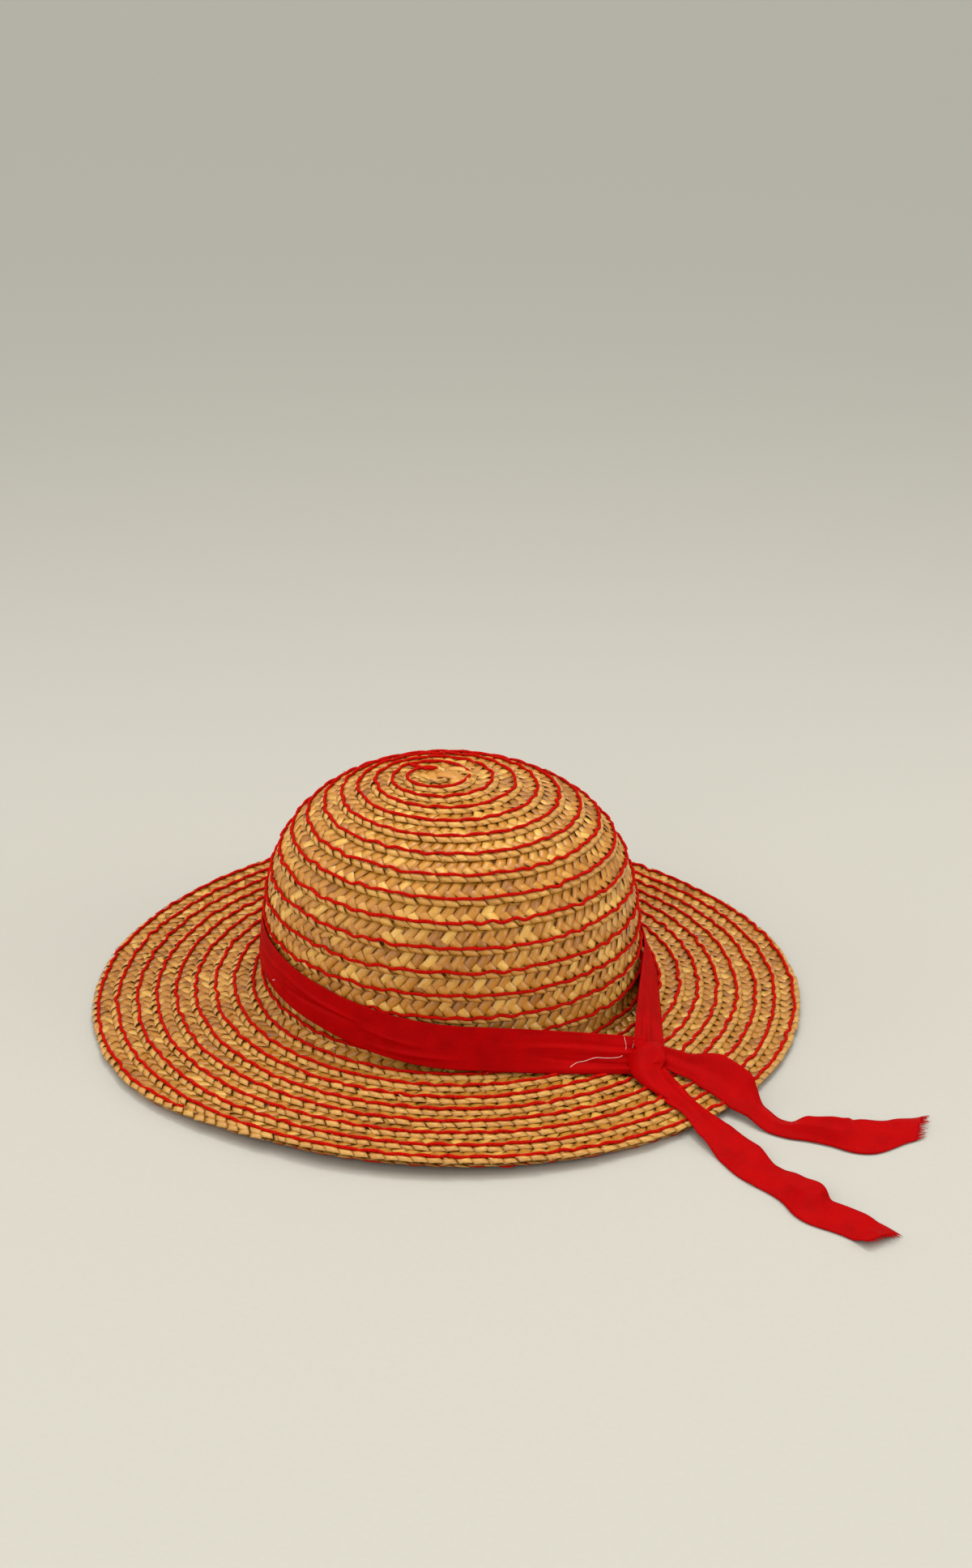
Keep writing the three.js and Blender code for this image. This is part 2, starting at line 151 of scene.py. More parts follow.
class StageLook(bpy.types.PropertyGroup):
    """Floor and light"""

    floor: colour("Floor", "Colour of the table", (0.49, 0.484, 0.436))
    ceiling: bpy.props.FloatProperty(
        name="Ceiling light", description="Strength of the soft light from above", default=1.45, min=0
    )
    key: bpy.props.FloatProperty(
        name="Key light", description="Power of the lamp above", default=3.4, min=0, unit="POWER"
    )
    fill: bpy.props.FloatProperty(
        name="Fill light", description="Power of the lamp in front", default=6, min=0, unit="POWER"
    )
    sides: bpy.props.FloatProperty(
        name="Side light", description="Power of the lamps at both sides", default=5, min=0, unit="POWER"
    )


def values(group):
    """A group's values for the makers below: its lengths in millimetres, the rest as they are"""
    read = {}
    for name in type(group).__annotations__:
        value = getattr(group, name)
        if group.bl_rna.properties[name].unit == "LENGTH":
            value = value / MM
        elif group.bl_rna.properties[name].subtype == "COLOR":
            value = tuple(value)
        read[name] = value
    return types.SimpleNamespace(**read)


# Shape of the straw body: one outline from the top to the brim's edge, turned about the middle


def clamp(value, low=0.0, high=1.0):
    return np.clip(value, low, high)


def smooth(value, low, high):
    share = clamp((value - low) / (high - low))
    return share * share * (3 - 2 * share)


# Exponents of the dome's curve
WALL_UPRIGHTNESS = 3.77
DOME_ROUNDNESS = 2.26

# Points of the outline on the crown, in the fillet and on the flat of the brim
CROWN_STEPS = 401
FILLET_STEPS = 24
BRIM_STEPS = 60

# Spiral, in millimetres along the outline: its middle is shifted over the nearest part of the
# crown, and the crown's middle rows are drawn up.
POLE_SHIFT = -11.0
POLE_REACH = 90
ROWS_DRAWN_UP = 4.4
DRAWN_UP_BIAS = 0.8
MIDDLE_OF_ROW = 4
POLE_GAP = 0.5
HIDDEN_REACH = 12.8
SINK_FADE = 30
SMALLEST_RADIUS = 0.6
TURN_STEPS = 6000

# The braid's end: where it is as a share of a turn, and its last stretch under the row before
BRAID_END = -118 / 360 % 1
TUCK_TURNS = 0.085
TUCK_SHARE = 0.86

# What the ribbon lies on: a row's edge, a gap and the run of the fall to the floor, in millimetres
LEDGE_HEIGHT = 1
GAP = 0.3
EDGE_FALL = 16
LOWEST = 0.05

# direction and half_width: degrees. rise: share of the foot's height.
BRIM_WAVES = (
    {"direction": -100, "half_width": 68, "rise": 0.32},
    {"direction": 12, "half_width": 38, "rise": 0.1},
    {"direction": 96, "half_width": 68, "rise": 0.32},
)


class Body:
    """The straw body's outline, its spiral of rows, and points on it"""

    def __init__(self, sizes):
        self.sizes = sizes
        self.foot_radius = sizes.head_opening / 2 + sizes.thickness
        self.dome = sizes.crown_height - sizes.foot_height
        steps = np.cos(np.linspace(0, 1, CROWN_STEPS) * math.pi / 2)
        crown_r = self.wall_radius(steps)
        crown_r[0] = 0
        crown_z = sizes.foot_height + self.dome * steps
        slope = math.atan2(sizes.wall_flare, self.dome)
        fillet = sizes.brim_fillet
        self.fillet_x = self.foot_radius + fillet * math.cos(slope)
        self.fillet_z = sizes.foot_height + fillet * math.sin(slope)
        self.edge_radius = (sizes.brim_diameter + sizes.braid_end_step) / 2
        self.edge_height = sizes.thickness - sizes.settle
        reach = self.edge_radius - self.fillet_x
        drop = self.edge_height - self.fillet_z
        turn = math.atan2(drop, reach) - math.acos(fillet / math.hypot(reach, drop))
        bend = np.linspace(math.pi + slope, 2 * math.pi + turn, FILLET_STEPS)
        brim_r = self.fillet_x + fillet * np.cos(bend)
        brim_z = self.fillet_z + fillet * np.sin(bend)
        self.flat_radius, self.flat_height = brim_r[-1], brim_z[-1]
        run = np.linspace(0, 1, BRIM_STEPS)[1:]
        radii = [crown_r, brim_r[1:], self.flat_radius + run * (self.edge_radius - self.flat_radius)]
        heights = [crown_z, brim_z[1:], self.flat_height + run * (self.edge_height - self.flat_height)]
        self.r = np.concatenate(radii)
        self.z = np.concatenate(heights)
        self.d = np.concatenate([[0], np.cumsum(np.hypot(np.diff(self.r), np.diff(self.z)))])
        tangent_r = np.gradient(self.r, self.d)
        tangent_z = np.gradient(self.z, self.d)
        length = np.hypot(tangent_r, tangent_z)
        self.normal_r, self.normal_z = -tangent_z / length, tangent_r / length
        self.crown_length = self.d[len(crown_r) - 1]
        self.length = self.d[-1]
        self.brim_length = self.length - self.crown_length
        self.foot_turns = self.crown_length / sizes.crown_row
        inner_edge = self.brim_length - sizes.braid_end_step
        rows = round(self.foot_turns + inner_edge / sizes.brim_row - BRAID_END)
        self.last_turns = rows + BRAID_END
        self.brim_pitch = inner_edge / (self.last_turns - self.foot_turns)

    def wall_radius(self, rise):
        flare = self.sizes.wall_flare
        dome = (1 - rise**WALL_UPRIGHTNESS) ** (1 / DOME_ROUNDNESS)
        return (self.foot_radius - flare) * dome + flare * (1 - rise)

    def row_edge(self, turns):
        """Distance from the top to the row's edge, along the outline"""
        on_crown = np.minimum(turns, self.foot_turns)
        on_brim = np.maximum(turns - self.foot_turns, 0)
        drawn_up = ROWS_DRAWN_UP * np.sin(math.pi * (on_crown / self.foot_turns) ** DRAWN_UP_BIAS) ** 2
        return self.sizes.crown_row * on_crown - drawn_up + self.brim_pitch * on_brim

    def tucked(self, turns):
        """How far the braid's last stretch is drawn in under the row before, from 0 to 1"""
        return smooth(turns, self.last_turns - TUCK_TURNS, self.last_turns)

    def squeeze(self, edge):
        """Share of a row's width that fits between its edge and the pole"""
        return np.minimum(1, np.maximum(edge - POLE_GAP, 0.1) / HIDDEN_REACH)

    def sunk(self, edge, sink):
        """How far a row lies under the outline: all of sink on the crown, nothing on the brim"""
        return sink * (1 - smooth(edge, self.crown_length, self.crown_length + SINK_FADE))

    def wave(self, angle):
        """Rise of the brim's edge in one direction"""
        rise = 0
        for wave in BRIM_WAVES:
            turn = (angle / (2 * math.pi) - wave["direction"] / 360 + 0.5) % 1 - 0.5
            across = np.minimum(np.abs(turn * 360) / wave["half_width"], 1)
            rise = rise + wave["rise"] * self.sizes.foot_height * np.cos(across * math.pi / 2) ** 2
        return rise

    def point(self, distance, lift, angle):
        """Points over the outline, in millimetres from the hat's middle"""
        distance = clamp(distance, 0, self.length)
        radius = np.interp(distance, self.d, self.r) + lift * np.interp(distance, self.d, self.normal_r)
        height = np.interp(distance, self.d, self.z) + lift * np.interp(distance, self.d, self.normal_z)
        on_brim = clamp((distance - self.crown_length) / self.brim_length)
        down = clamp((self.sizes.crown_height - height) / self.dome)
        offset = CROWN_OFFSET * np.where(on_brim > 0, 1, down)
        offset = offset + POLE_SHIFT * (1 - clamp(distance / POLE_REACH)) ** 2
        height = np.maximum(height + self.wave(angle) * on_brim**2, LOWEST)
        return np.stack([radius * np.cos(angle) + offset, radius * np.sin(angle), height], -1)

    def turns_along(self, start, stop):
        """Two lists to read turns from millimetres along the rows between two turn counts"""
        turns = np.linspace(start, stop, TURN_STEPS)
        middle = np.maximum(self.row_edge(turns) - MIDDLE_OF_ROW, SMALLEST_RADIUS)
        middle = np.interp(middle, self.d, self.r)
        steps = (middle[1:] + middle[:-1]) / 2 * np.diff(turns) * 2 * math.pi
        return np.concatenate([[0], np.cumsum(steps)]), turns

    def resting_height(self, x, y):
        """Height of what a ribbon lies on: the brim's rows, then a soft fall to the floor"""
        edge = self.edge_radius
        radius = np.hypot(x - CROWN_OFFSET, y)
        outward = clamp((radius - self.flat_radius) / (edge - self.flat_radius))
        fillet = self.sizes.brim_fillet
        inside = clamp(self.fillet_x - radius, -fillet, fillet)
        bend = self.fillet_z - np.sqrt(fillet**2 - inside**2)
        plain = self.flat_height + outward * (self.edge_height - self.flat_height)
        base = np.where(radius < self.flat_radius, bend, plain)
        flat_start = self.brim_length - math.hypot(
            edge - self.flat_radius, self.edge_height - self.flat_height
        )
        share = (flat_start + outward * (self.brim_length - flat_start)) / self.brim_length
        top = base + LEDGE_HEIGHT + self.wave(np.arctan2(y, x)) * share**2
        return top * (1 - smooth(radius, edge + GAP, edge + EDGE_FALL))


# Helpers for meshes and pieces


def new_mesh_object(name, bm):
    mesh = bpy.data.meshes.new(name)
    bm.to_mesh(mesh)
    bm.free()
    piece = bpy.data.objects.new(name, mesh)
    bpy.context.scene.collection.objects.link(piece)
    return piece


def faces_of(verts):
    """The faces round some vertices, each once and in the same order in every run"""
    return list(dict.fromkeys(face for vert in verts for face in vert.link_faces))


def place(mesh, points):
    """Puts vertices at points given in millimetres from the hat's middle"""
    placed = np.asarray(points) * MM + np.array(HAT_MIDDLE)
    mesh.vertices.foreach_set("co", placed.astype(np.float32).ravel())
    mesh.update()


def read_points(mesh):
    flat = np.zeros(len(mesh.vertices) * 3, np.float32)
    mesh.vertices.foreach_get("co", flat)
    return flat.reshape(-1, 3).astype(float)


def read_attribute(mesh, name, number):
    read = np.zeros(len(mesh.vertices), number)
    mesh.attributes[name].data.foreach_get("value", read)
    return read


def write_attribute(mesh, name, numbers):
    layer = mesh.attributes.new(name, "FLOAT", "POINT")
    layer.data.foreach_set("value", np.asarray(numbers, np.float32))


def finish_piece(piece, slot, material, *nodes):
    piece.data.materials.clear()
    piece.data.materials.append(material)
    piece.data.shade_smooth()
    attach(piece, "root")
    if nodes:
        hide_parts(*nodes)
    return piece


# Plait: one crossing is drawn flat, repeated by an array and laid along the spiral

STRAW = 0.32
UV_UNIT = 10
ARCH_POWER = 2.2

# kind of a strip: 1 and 2 cross each other, 3 is folded over the row's edge, 4 is the core
FOLDED = 3
CORE_KIND = 4
KINDS = 5

# Strips of one crossing. start and end: millimetres along the row and in from its edge.
# width: share of the strip's own width, or of the crossing where the ends are cut along the row.
# heights: at start, middle and end. bow: rounding across. shingle: lift of one side.
OUTER_STRIPS = (
    {"kind": 1, "start": (-0.2, 2.5), "end": (6.9, 12.1), "width": 1.04, "cut": "square",
     "cells": (3, 2), "heights": (-0.85, 0.36, -0.1), "bow": 0.13, "shingle": 0.06},
    {"kind": 2, "start": (-2.9, 8.4), "end": (3.0, 1.3), "width": 1.03, "cut": "square",
     "cells": (3, 2), "heights": (-0.75, 0.56, -0.8), "bow": 0.13, "shingle": -0.05},
    {"kind": 3, "start": (-0.6, 3.4), "end": (2.2, -0.2), "width": 1.02, "cut": "along",
     "cells": (3, 2), "heights": (-0.15, 0.62, -0.6), "bow": 0.16, "shingle": 0.3},
)
INNER_STRIPS = (
    {"kind": 1, "start": (-0.2, 2.5), "end": (6.9, 12.1), "width": 1.02, "cut": "along",
     "cells": (3, 1), "heights": (-0.85, 0.3, -0.1), "bow": 0.0, "shingle": 0.06},
    {"kind": 2, "start": (-2.9, 8.4), "end": (3.0, 1.3), "width": 1.02, "cut": "square",
     "cells": (3, 1), "heights": (-0.75, 0.42, -0.7), "bow": 0.0, "shingle": -0.05},
    {"kind": 3, "start": (-0.6, 3.4), "end": (2.2, -0.2), "width": 1.02, "cut": "along",
     "cells": (2, 1), "heights": (-0.15, 0.42, -0.5), "bow": 0.0, "shingle": 0.2},
)
CORE = {"inside": (1.5, 12.4), "top": -0.42, "thickness": 0.6, "length": 1.04}
# Spread of the strips' small shifts in millimetres, and of their slopes
SPREAD = {"along": 0.17, "across": 0.12, "lift": 0.07, "tilt": 0.045, "roll": 0.065, "stretch": 0.03}
FOLDED_SPREAD = 1.9
STRETCH_REACH = 0.3
# The inner plait is laid from the other side of the row, and closer to the wall at one edge.
INNER_REACH = 13.1
INNER_RAKE = 0.35
INNER_OVERLAP = 0.1
ROW_OVERHANG = -1
# How far the braid's end is pushed down, as a share of the edge's rise
OUTER_TUCK = 0.5
INNER_TUCK = -0.25
# More crossings would take the brim's piece past 200,000 triangles.
MOST_CROSSINGS = 1240
# The plait starts half a turn from the spiral's middle.
FIRST_TURN = 0.5


def add_strip(bm, spec, look):
    """One closed straw strip of the crossing, drawn flat and bowed"""
    uv = bm.loops.layers.uv.verify()
    kind = bm.verts.layers.int.get("kind") or bm.verts.layers.int.new("kind")
    aside = bm.verts.layers.float.get("aside") or bm.verts.layers.float.new("aside")
    before = set(bm.verts)
    cells = spec["cells"]
    grid = bmesh.ops.create_grid(bm, x_segments=cells[0], y_segments=cells[1], size=0.5)
    bmesh.ops.solidify(bm, geom=faces_of(grid["verts"]), thickness=STRAW)
    verts = [vert for vert in bm.verts if vert not in before]
    along = Vector(spec["end"]) - Vector(spec["start"])
    if spec["cut"] == "square":
        across = Vector((-along.y, along.x)).normalized() * look.strip * spec["width"]
    else:
        across = Vector((look.pitch * spec["width"], 0))
    low, peak, high = spec["heights"]
    for face in faces_of(verts):
        for loop in face.loops:
            flat = loop.vert.co
            u, v = flat.x + 0.5, flat.y + 0.5
            loop[uv].uv = (u * along.length / UV_UNIT, v * look.strip / UV_UNIT)
    top = max(vert.co.z for vert in verts)
    for vert in verts:
        u, v = vert.co.x + 0.5, vert.co.y
        vert[kind] = spec["kind"]
        vert[aside] = v * look.strip
        ends = low if u < 0.5 else high
        arch = peak + (ends - peak) * abs(2 * u - 1) ** ARCH_POWER
        spot = Vector(spec["start"]) + along * u + across * v
        height = arch - spec["bow"] * (2 * v) ** 2 + 2 * v * spec["shingle"]
        vert.co = (spot.x, spot.y, height + vert.co.z - top)


def add_core(bm, look):
    """Filling under the strips, so that no light comes through; its dark brown is painted shade, seen in
    the gaps between the strips
    """
    kind = bm.verts.layers.int["kind"]
    before = set(bm.verts)
    grid = bmesh.ops.create_grid(bm, x_segments=1, y_segments=3, size=0.5)
    bmesh.ops.solidify(bm, geom=faces_of(grid["verts"]), thickness=CORE["thickness"])
    verts = [vert for vert in bm.verts if vert not in before]
    top = max(vert.co.z for vert in verts)
    near, far = CORE["inside"]
    for vert in verts:
        vert[kind] = CORE_KIND
        x = look.pitch * (0.5 + CORE["length"] * vert.co.x)
        y = (near + far) / 2 + (far - near) * vert.co.y
        vert.co = (x, y, CORE["top"] + vert.co.z - top)


def plait_line(name, strips, count, look, with_core):
    """A straight plait with count crossings, made by an array"""
    bm = bmesh.new()
    for spec in strips:
        add_strip(bm, spec, look)
    if with_core:
        add_core(bm, look)
    bmesh.ops.recalc_face_normals(bm, faces=bm.faces)
    crossing = len(bm.verts)
    piece = new_mesh_object(name, bm)
    array = piece.modifiers.new("crossings", "ARRAY")
    array.count = count
    array.use_relative_offset = False
    array.use_constant_offset = True
    array.constant_offset_displace = (look.pitch, 0, 0)
    apply_modifiers(piece)
    return piece, crossing


def apply_modifiers(piece):
    graph = bpy.context.evaluated_depsgraph_get()
    finished = bpy.data.meshes.new_from_object(piece.evaluated_get(graph))
    old = piece.data
    piece.modifiers.clear()
    piece.data = finished
    finished.name = piece.name
    bpy.data.meshes.remove(old)


def vary(points, cell, kind, aside, pitch, seed):
    """Gives each strip its own small tilt, roll, shift and tone"""
    random = np.random.RandomState(seed)
    cells = int(cell.max()) + 1
    shift_along, shift_across, lift, tilt, roll = (
        random.normal(0, SPREAD[name], (cells, KINDS))
        for name in ("along", "across", "lift", "tilt", "roll")
    )
    tone = random.rand(cells, KINDS)
    stretch = np.cumsum(random.normal(0, SPREAD["stretch"], cells))
    for wandering in (shift_along, shift_across, lift):
        wandering[:, FOLDED] *= FOLDED_SPREAD
    local = points[:, 0] - (cell + 0.5) * pitch
    moves = kind != CORE_KIND
    varied = points.copy()
    varied[:, 0] += shift_along[cell, kind] + STRETCH_REACH * np.sin(stretch[cell])
    varied[:, 1] += shift_across[cell, kind] * moves
    leaning = tilt[cell, kind] * local + roll[cell, kind] * aside
    varied[:, 2] += (lift[cell, kind] + leaning) * moves
    return varied, tone[cell, kind]


def lay_plait(piece, crossing, body, look, first, last, inner, seed):
    """Lays a straight plait along the spiral from one turn count to another"""
    mesh = piece.data
    flat = read_points(mesh)
    kind = read_attribute(mesh, "kind", np.int32)
    aside = read_attribute(mesh, "aside", np.float32)
    cell = np.arange(len(flat)) // crossing
    varied, tone = vary(flat, cell, kind, aside, look.pitch, seed)
    lengths, counts = body.turns_along(first, last)
    scale = lengths[-1] / ((cell.max() + 1) * look.pitch)
    turns = np.interp(varied[:, 0] * scale, lengths, counts)
    edge = body.row_edge(turns)
    inside = varied[:, 1]
    if inner:
        inside = INNER_REACH - inside
    squeeze = body.squeeze(edge)
    rake = look.rise * (1 - clamp(inside, ROW_OVERHANG, HIDDEN_REACH) / body.sizes.crown_row)
    lift = varied[:, 2] + rake - body.sunk(edge, look.sink)
    if inner:
        rake = INNER_RAKE * (1 - inside / HIDDEN_REACH)
        lift = -(body.sizes.thickness - INNER_OVERLAP + varied[:, 2] - rake)
    tucked = body.tucked(turns)
    edge = edge - body.brim_pitch * TUCK_SHARE * tucked
    lift = lift - tucked * look.rise * (INNER_TUCK if inner else OUTER_TUCK)
    points = body.point(edge - inside * squeeze, lift, turns * 2 * math.pi)
    place(mesh, points)
    write_attribute(mesh, "tone", tone)
    write_attribute(mesh, "kind_share", kind / CORE_KIND)
    for name in ("kind", "aside"):
        mesh.attributes.remove(mesh.attributes[name])
    if inner:
        mesh.flip_normals()


# Materials

# Lit and shaded copies of the one straw: the crown's copy is kept lighter as painted light, the brim's
# is darkened as painted shade, and both turn the straw a little more orange. The copy for broken straws
# and the braid's start is a little paler.
CROWN_LIT_TINT = (1.0, 0.96, 0.92)
BRIM_SHADED_TINT = (0.85, 0.8, 0.72)
LOOSE_TINT = (1.05, 1.0, 0.95)
# Painted shade: the core's dark brown, seen in the gaps between the strips
CORE_PAINTED_SHADE = (0.13, 0.046, 0.006)
PALE_THREAD = (0.78, 0.45, 0.4)

# Sockets of a Mix node that mixes colours
MIX_FACTOR = 0
MIX_FIRST = 6
MIX_SECOND = 7
MIX_RESULT = 2


def node_maker(material):
    """A maker of nodes in an emptied material: inputs by socket, settings by name"""
    material.use_nodes = True
    tree = material.node_tree
    tree.nodes.clear()

    def add(kind, inputs=None, **settings):
        node = tree.nodes.new(kind)
        for key, value in settings.items():
            setattr(node, key, value)
        for key, value in (inputs or {}).items():
            if isinstance(value, bpy.types.NodeSocket):
                tree.links.new(value, node.inputs[key])
            else:
                node.inputs[key].default_value = value
        return node

    return add


def ramp(add, factor, stops):
    node = add("ShaderNodeValToRGB", {"Fac": factor})
    elements = node.color_ramp.elements
    while len(elements) < len(stops):
        elements.new(0.5)
    for element, (position, value) in zip(elements, stops):
        element.position = position
        element.color = (*value, 1)
    return node.outputs["Color"]


def mixed(add, factor, one, other, blend="MIX"):
    node = add("ShaderNodeMix", data_type="RGBA", blend_type=blend)
    tree = node.id_data
    for index, value in ((MIX_FACTOR, factor), (MIX_FIRST, one), (MIX_SECOND, other)):
        if isinstance(value, bpy.types.NodeSocket):
            tree.links.new(value, node.inputs[index])
        else:
            node.inputs[index].default_value = value
    return node.outputs[MIX_RESULT]


def maths(add, operation, one, other=0.0):
    node = add("ShaderNodeMath", {0: one, 1: other}, operation=operation)
    return node.outputs[0]


def straw_material(name, look, tint_and_painted_light):
    """Glossy split straw: each strip has its own tone, with fine fibres along it. Painted shade darkens
    the strips' long edges and the core under them, and each copy's colour factor paints the crown's
    straw lighter and the brim's darker.
    """
    material = bpy.data.materials.new(name)
    add = node_maker(material)
    tone = add("ShaderNodeAttribute", attribute_name="tone").outputs["Fac"]
    kind = add("ShaderNodeAttribute", attribute_name="kind_share").outputs["Fac"]
    spot = add("ShaderNodeTexCoord").outputs
    patches = add("ShaderNodeTexNoise", {"Vector": spot["Object"], "Scale": 28, "Detail": 3})
    fibre_map = add("ShaderNodeMapping", {"Vector": spot["UV"], "Scale": (1.6, 26, 1)})
    fibre_seed = add("ShaderNodeCombineXYZ", {"X": maths(add, "MULTIPLY", tone, 37), "Z": tone})
    moved = add("ShaderNodeVectorMath", {0: fibre_map.outputs[0], 1: fibre_seed.outputs[0]},
                operation="ADD")
    fibres = add("ShaderNodeTexNoise", {"Vector": moved.outputs[0], "Scale": 1.4, "Detail": 5})
    base = ramp(add, maths(add, "ADD", maths(add, "MULTIPLY", tone, 0.75),
                           maths(add, "MULTIPLY", patches.outputs["Fac"], 0.3)),
                [(0.1, look.dark), (0.32, look.gold), (0.62, look.gold), (0.9, look.light)])
    streaks = ramp(add, fibres.outputs["Fac"], [(0.3, (0.6, 0.5, 0.36)), (0.5, (1, 1, 1)),
                                                (0.72, (1.14, 1.14, 1.1))])
    streaked = mixed(add, 0.75, base, streaks, "MULTIPLY")
    # Painted shade: each strip darkens towards its long edges, where it meets its neighbours
    parts = add("ShaderNodeSeparateXYZ", {"Vector": spot["UV"]})
    half = look.strip / (2 * UV_UNIT)
    across = maths(add, "ABSOLUTE", maths(add, "SUBTRACT", parts.outputs["Y"], half))
    border_shade = ramp(add, maths(add, "DIVIDE", across, half),
                  [(0.74, (1, 1, 1)), (0.92, (0.76, 0.66, 0.52)), (1.0, (0.38, 0.26, 0.15))])
    is_fold = ramp(add, kind, [(0.6, (0, 0, 0)), (0.72, (1, 1, 1)), (0.8, (1, 1, 1)), (0.9, (0, 0, 0))])
    folded = mixed(add, maths(add, "MULTIPLY", is_fold, 0.6), streaked, (*look.fold, 1))
    # Painted shade: the core shows dark brown between the strips
    is_core = ramp(add, kind, [(0.86, (0, 0, 0)), (0.95, (1, 1, 1))])
    # The painted shade along the strips' long edges is multiplied in
    border_shaded = mixed(add, 1.0, folded, border_shade, "MULTIPLY")
    cored = mixed(add, is_core, border_shaded, (*CORE_PAINTED_SHADE, 1))
    # Multiplied by the copy's colour factor: painted light on the crown, painted shade on the brim
    coloured = mixed(add, 1.0, cored, (*tint_and_painted_light, 1), "MULTIPLY")
    rough = ramp(add, fibres.outputs["Fac"], [(0.3, (0.42,) * 3), (0.7, (0.24,) * 3)])
    grain = add("ShaderNodeBump", {"Height": fibres.outputs["Fac"], "Strength": 0.35,
                                   "Distance": 0.0002})
    shader = add("ShaderNodeBsdfPrincipled", {
        "Base Color": coloured, "Roughness": rough, "Normal": grain.outputs[0],
        "Specular IOR Level": 0.5,
    })
    add("ShaderNodeOutputMaterial", {"Surface": shader.outputs[0]})
    return material


def yarn_material(name, value):
    """Matt red yarn with fine fuzz in its colour and bump"""
    material = bpy.data.materials.new(name)
    add = node_maker(material)
    spot = add("ShaderNodeTexCoord").outputs["Object"]
    fuzz = add("ShaderNodeTexNoise", {"Vector": spot, "Scale": 1500, "Detail": 3})
    shade = ramp(add, fuzz.outputs["Fac"], [(0.25, tuple(part * 0.45 for part in value)),
                                            (0.5, value),
                                            (0.8, tuple(min(part * 1.35 + 0.01, 1) for part in value))])
    bump = add("ShaderNodeBump", {"Height": fuzz.outputs["Fac"], "Strength": 0.5, "Distance": 0.0004})
    shader = add("ShaderNodeBsdfPrincipled", {
        "Base Color": shade, "Roughness": 0.8, "Normal": bump.outputs[0],
        "Specular IOR Level": 0.03,
    })
    add("ShaderNodeOutputMaterial", {"Surface": shader.outputs[0]})
    return material


def ribbon_material(name, value):
    """Red taffeta ribbon: fine ribs across, from the strip's own UV"""
    material = bpy.data.materials.new(name)
    add = node_maker(material)
    spot = add("ShaderNodeTexCoord").outputs
    parts = add("ShaderNodeSeparateXYZ", {"Vector": spot["UV"]})
    ribs = maths(add, "SINE", maths(add, "MULTIPLY", parts.outputs["X"], 126))
    warp_noise = add("ShaderNodeTexNoise", {"Vector": spot["Object"], "Scale": 900, "Detail": 2})
    slub = add("ShaderNodeTexNoise", {"Vector": spot["Object"], "Scale": 110, "Detail": 4})
    weave = maths(add, "ADD", maths(add, "MULTIPLY", ribs, 0.12),
                  maths(add, "MULTIPLY", warp_noise.outputs["Fac"], 0.5))
    dark = tuple(part * 0.86 for part in value)
    light = (min(value[0] * 1.1, 1), value[1], value[2])
    shade = ramp(add, slub.outputs["Fac"], [(0.28, dark), (0.5, value), (0.75, light)])
    fine = ramp(add, weave, [(0.1, (0.82,) * 3), (0.5, (1.08,) * 3)])
    coloured = mixed(add, 0.8, shade, fine, "MULTIPLY")
    bump = add("ShaderNodeBump", {"Height": weave, "Strength": 0.35, "Distance": 0.0003})
    shader = add("ShaderNodeBsdfPrincipled", {
        "Base Color": coloured, "Roughness": 0.6, "Normal": bump.outputs[0],
        "Specular IOR Level": 0.035,
    })
    add("ShaderNodeOutputMaterial", {"Surface": shader.outputs[0]})
    return material


def plain_material(name, value, roughness):
    material = bpy.data.materials.new(name)
    add = node_maker(material)
    spot = add("ShaderNodeTexCoord").outputs["Object"]
    grain = add("ShaderNodeTexNoise", {"Vector": spot, "Scale": 420, "Detail": 3})
    darker = tuple(part * 0.975 for part in value)
    shade = ramp(add, grain.outputs["Fac"], [(0.3, darker), (0.7, value)])
    shader = add("ShaderNodeBsdfPrincipled", {"Base Color": shade, "Roughness": roughness})
    add("ShaderNodeOutputMaterial", {"Surface": shader.outputs[0]})
    return material


# Ribbon: the band's and the tails' ways, as the solids have them

# Half of the thickness that the solids' ribbon has, in millimetres
HALF_SOLID = 0.5
RING_STEPS = 400
TAIL_STEPS = 120

# Cells of the cloth, along and across
BAND_CELLS = (340, 32)
TAIL_CELLS = (120, 16)
WRAP_CELLS = (56, 24)

KNOT_OUT = 0.3706
KNOT_DIRECTION = math.radians(-43.5)
BAND_HIGH_SIDE = math.radians(150)
BAND_MEAN = 0.91
BAND_TILT = 0.48
LEAN = {"round": 0.1, "leaving": 0.35, "at_knot": 0.85}
KNOT_GATHER = 0.9
ROOT_FALL = 0.9

# along: share of the tail's length. heading and roll: degrees. width: share of the ribbon's
# width. crease: rise of the middle as a share of the width.
LONG_TAIL_FOLDS = (
    (0.0, -59, -3, 0.5, 0.05),
    (0.12, -61, 1, 0.7, 0.07),
    (0.24, -56, -9, 0.64, 0.07),
    (0.36, -60, -1, 0.84, 0.03),
    (0.48, -63, 12, 0.94, 0.04),
    (0.58, -47, -1, 0.95, 0.02),
    (0.66, -52, 8, 0.9, 0.05),
    (0.74, -70, 20, 0.93, 0.06),
    (0.82, -32, 4, 0.94, 0.02),
    (0.9, -38, 5, 0.88, 0.03),
    (1.0, -52, -10, 0.89, 0.05),
)
SHORT_TAIL_FOLDS = (
    (0.0, -34, 30, 0.48, -0.03),
    (0.1, -16, 33, 0.6, -0.04),
    (0.2, -43, 29, 0.97, -0.05),
    (0.3, -55, 30, 0.94, -0.03),
    (0.4, -52, 2, 0.58, 0.06),
    (0.5, -29, 2, 0.64, 0.07),
    (0.58, -17, 30, 0.63, 0.05),
    (0.66, -23, 36, 0.7, 0.03),
    (0.76, 17, 12, 1.08, 0.03),
    (0.88, 25, 10, 0.78, 0.06),
    (1.0, 27, 0, 0.76, 0.08),
)
LONG_TAIL_ROOT = {"aside": -0.12, "cut": 0.06}
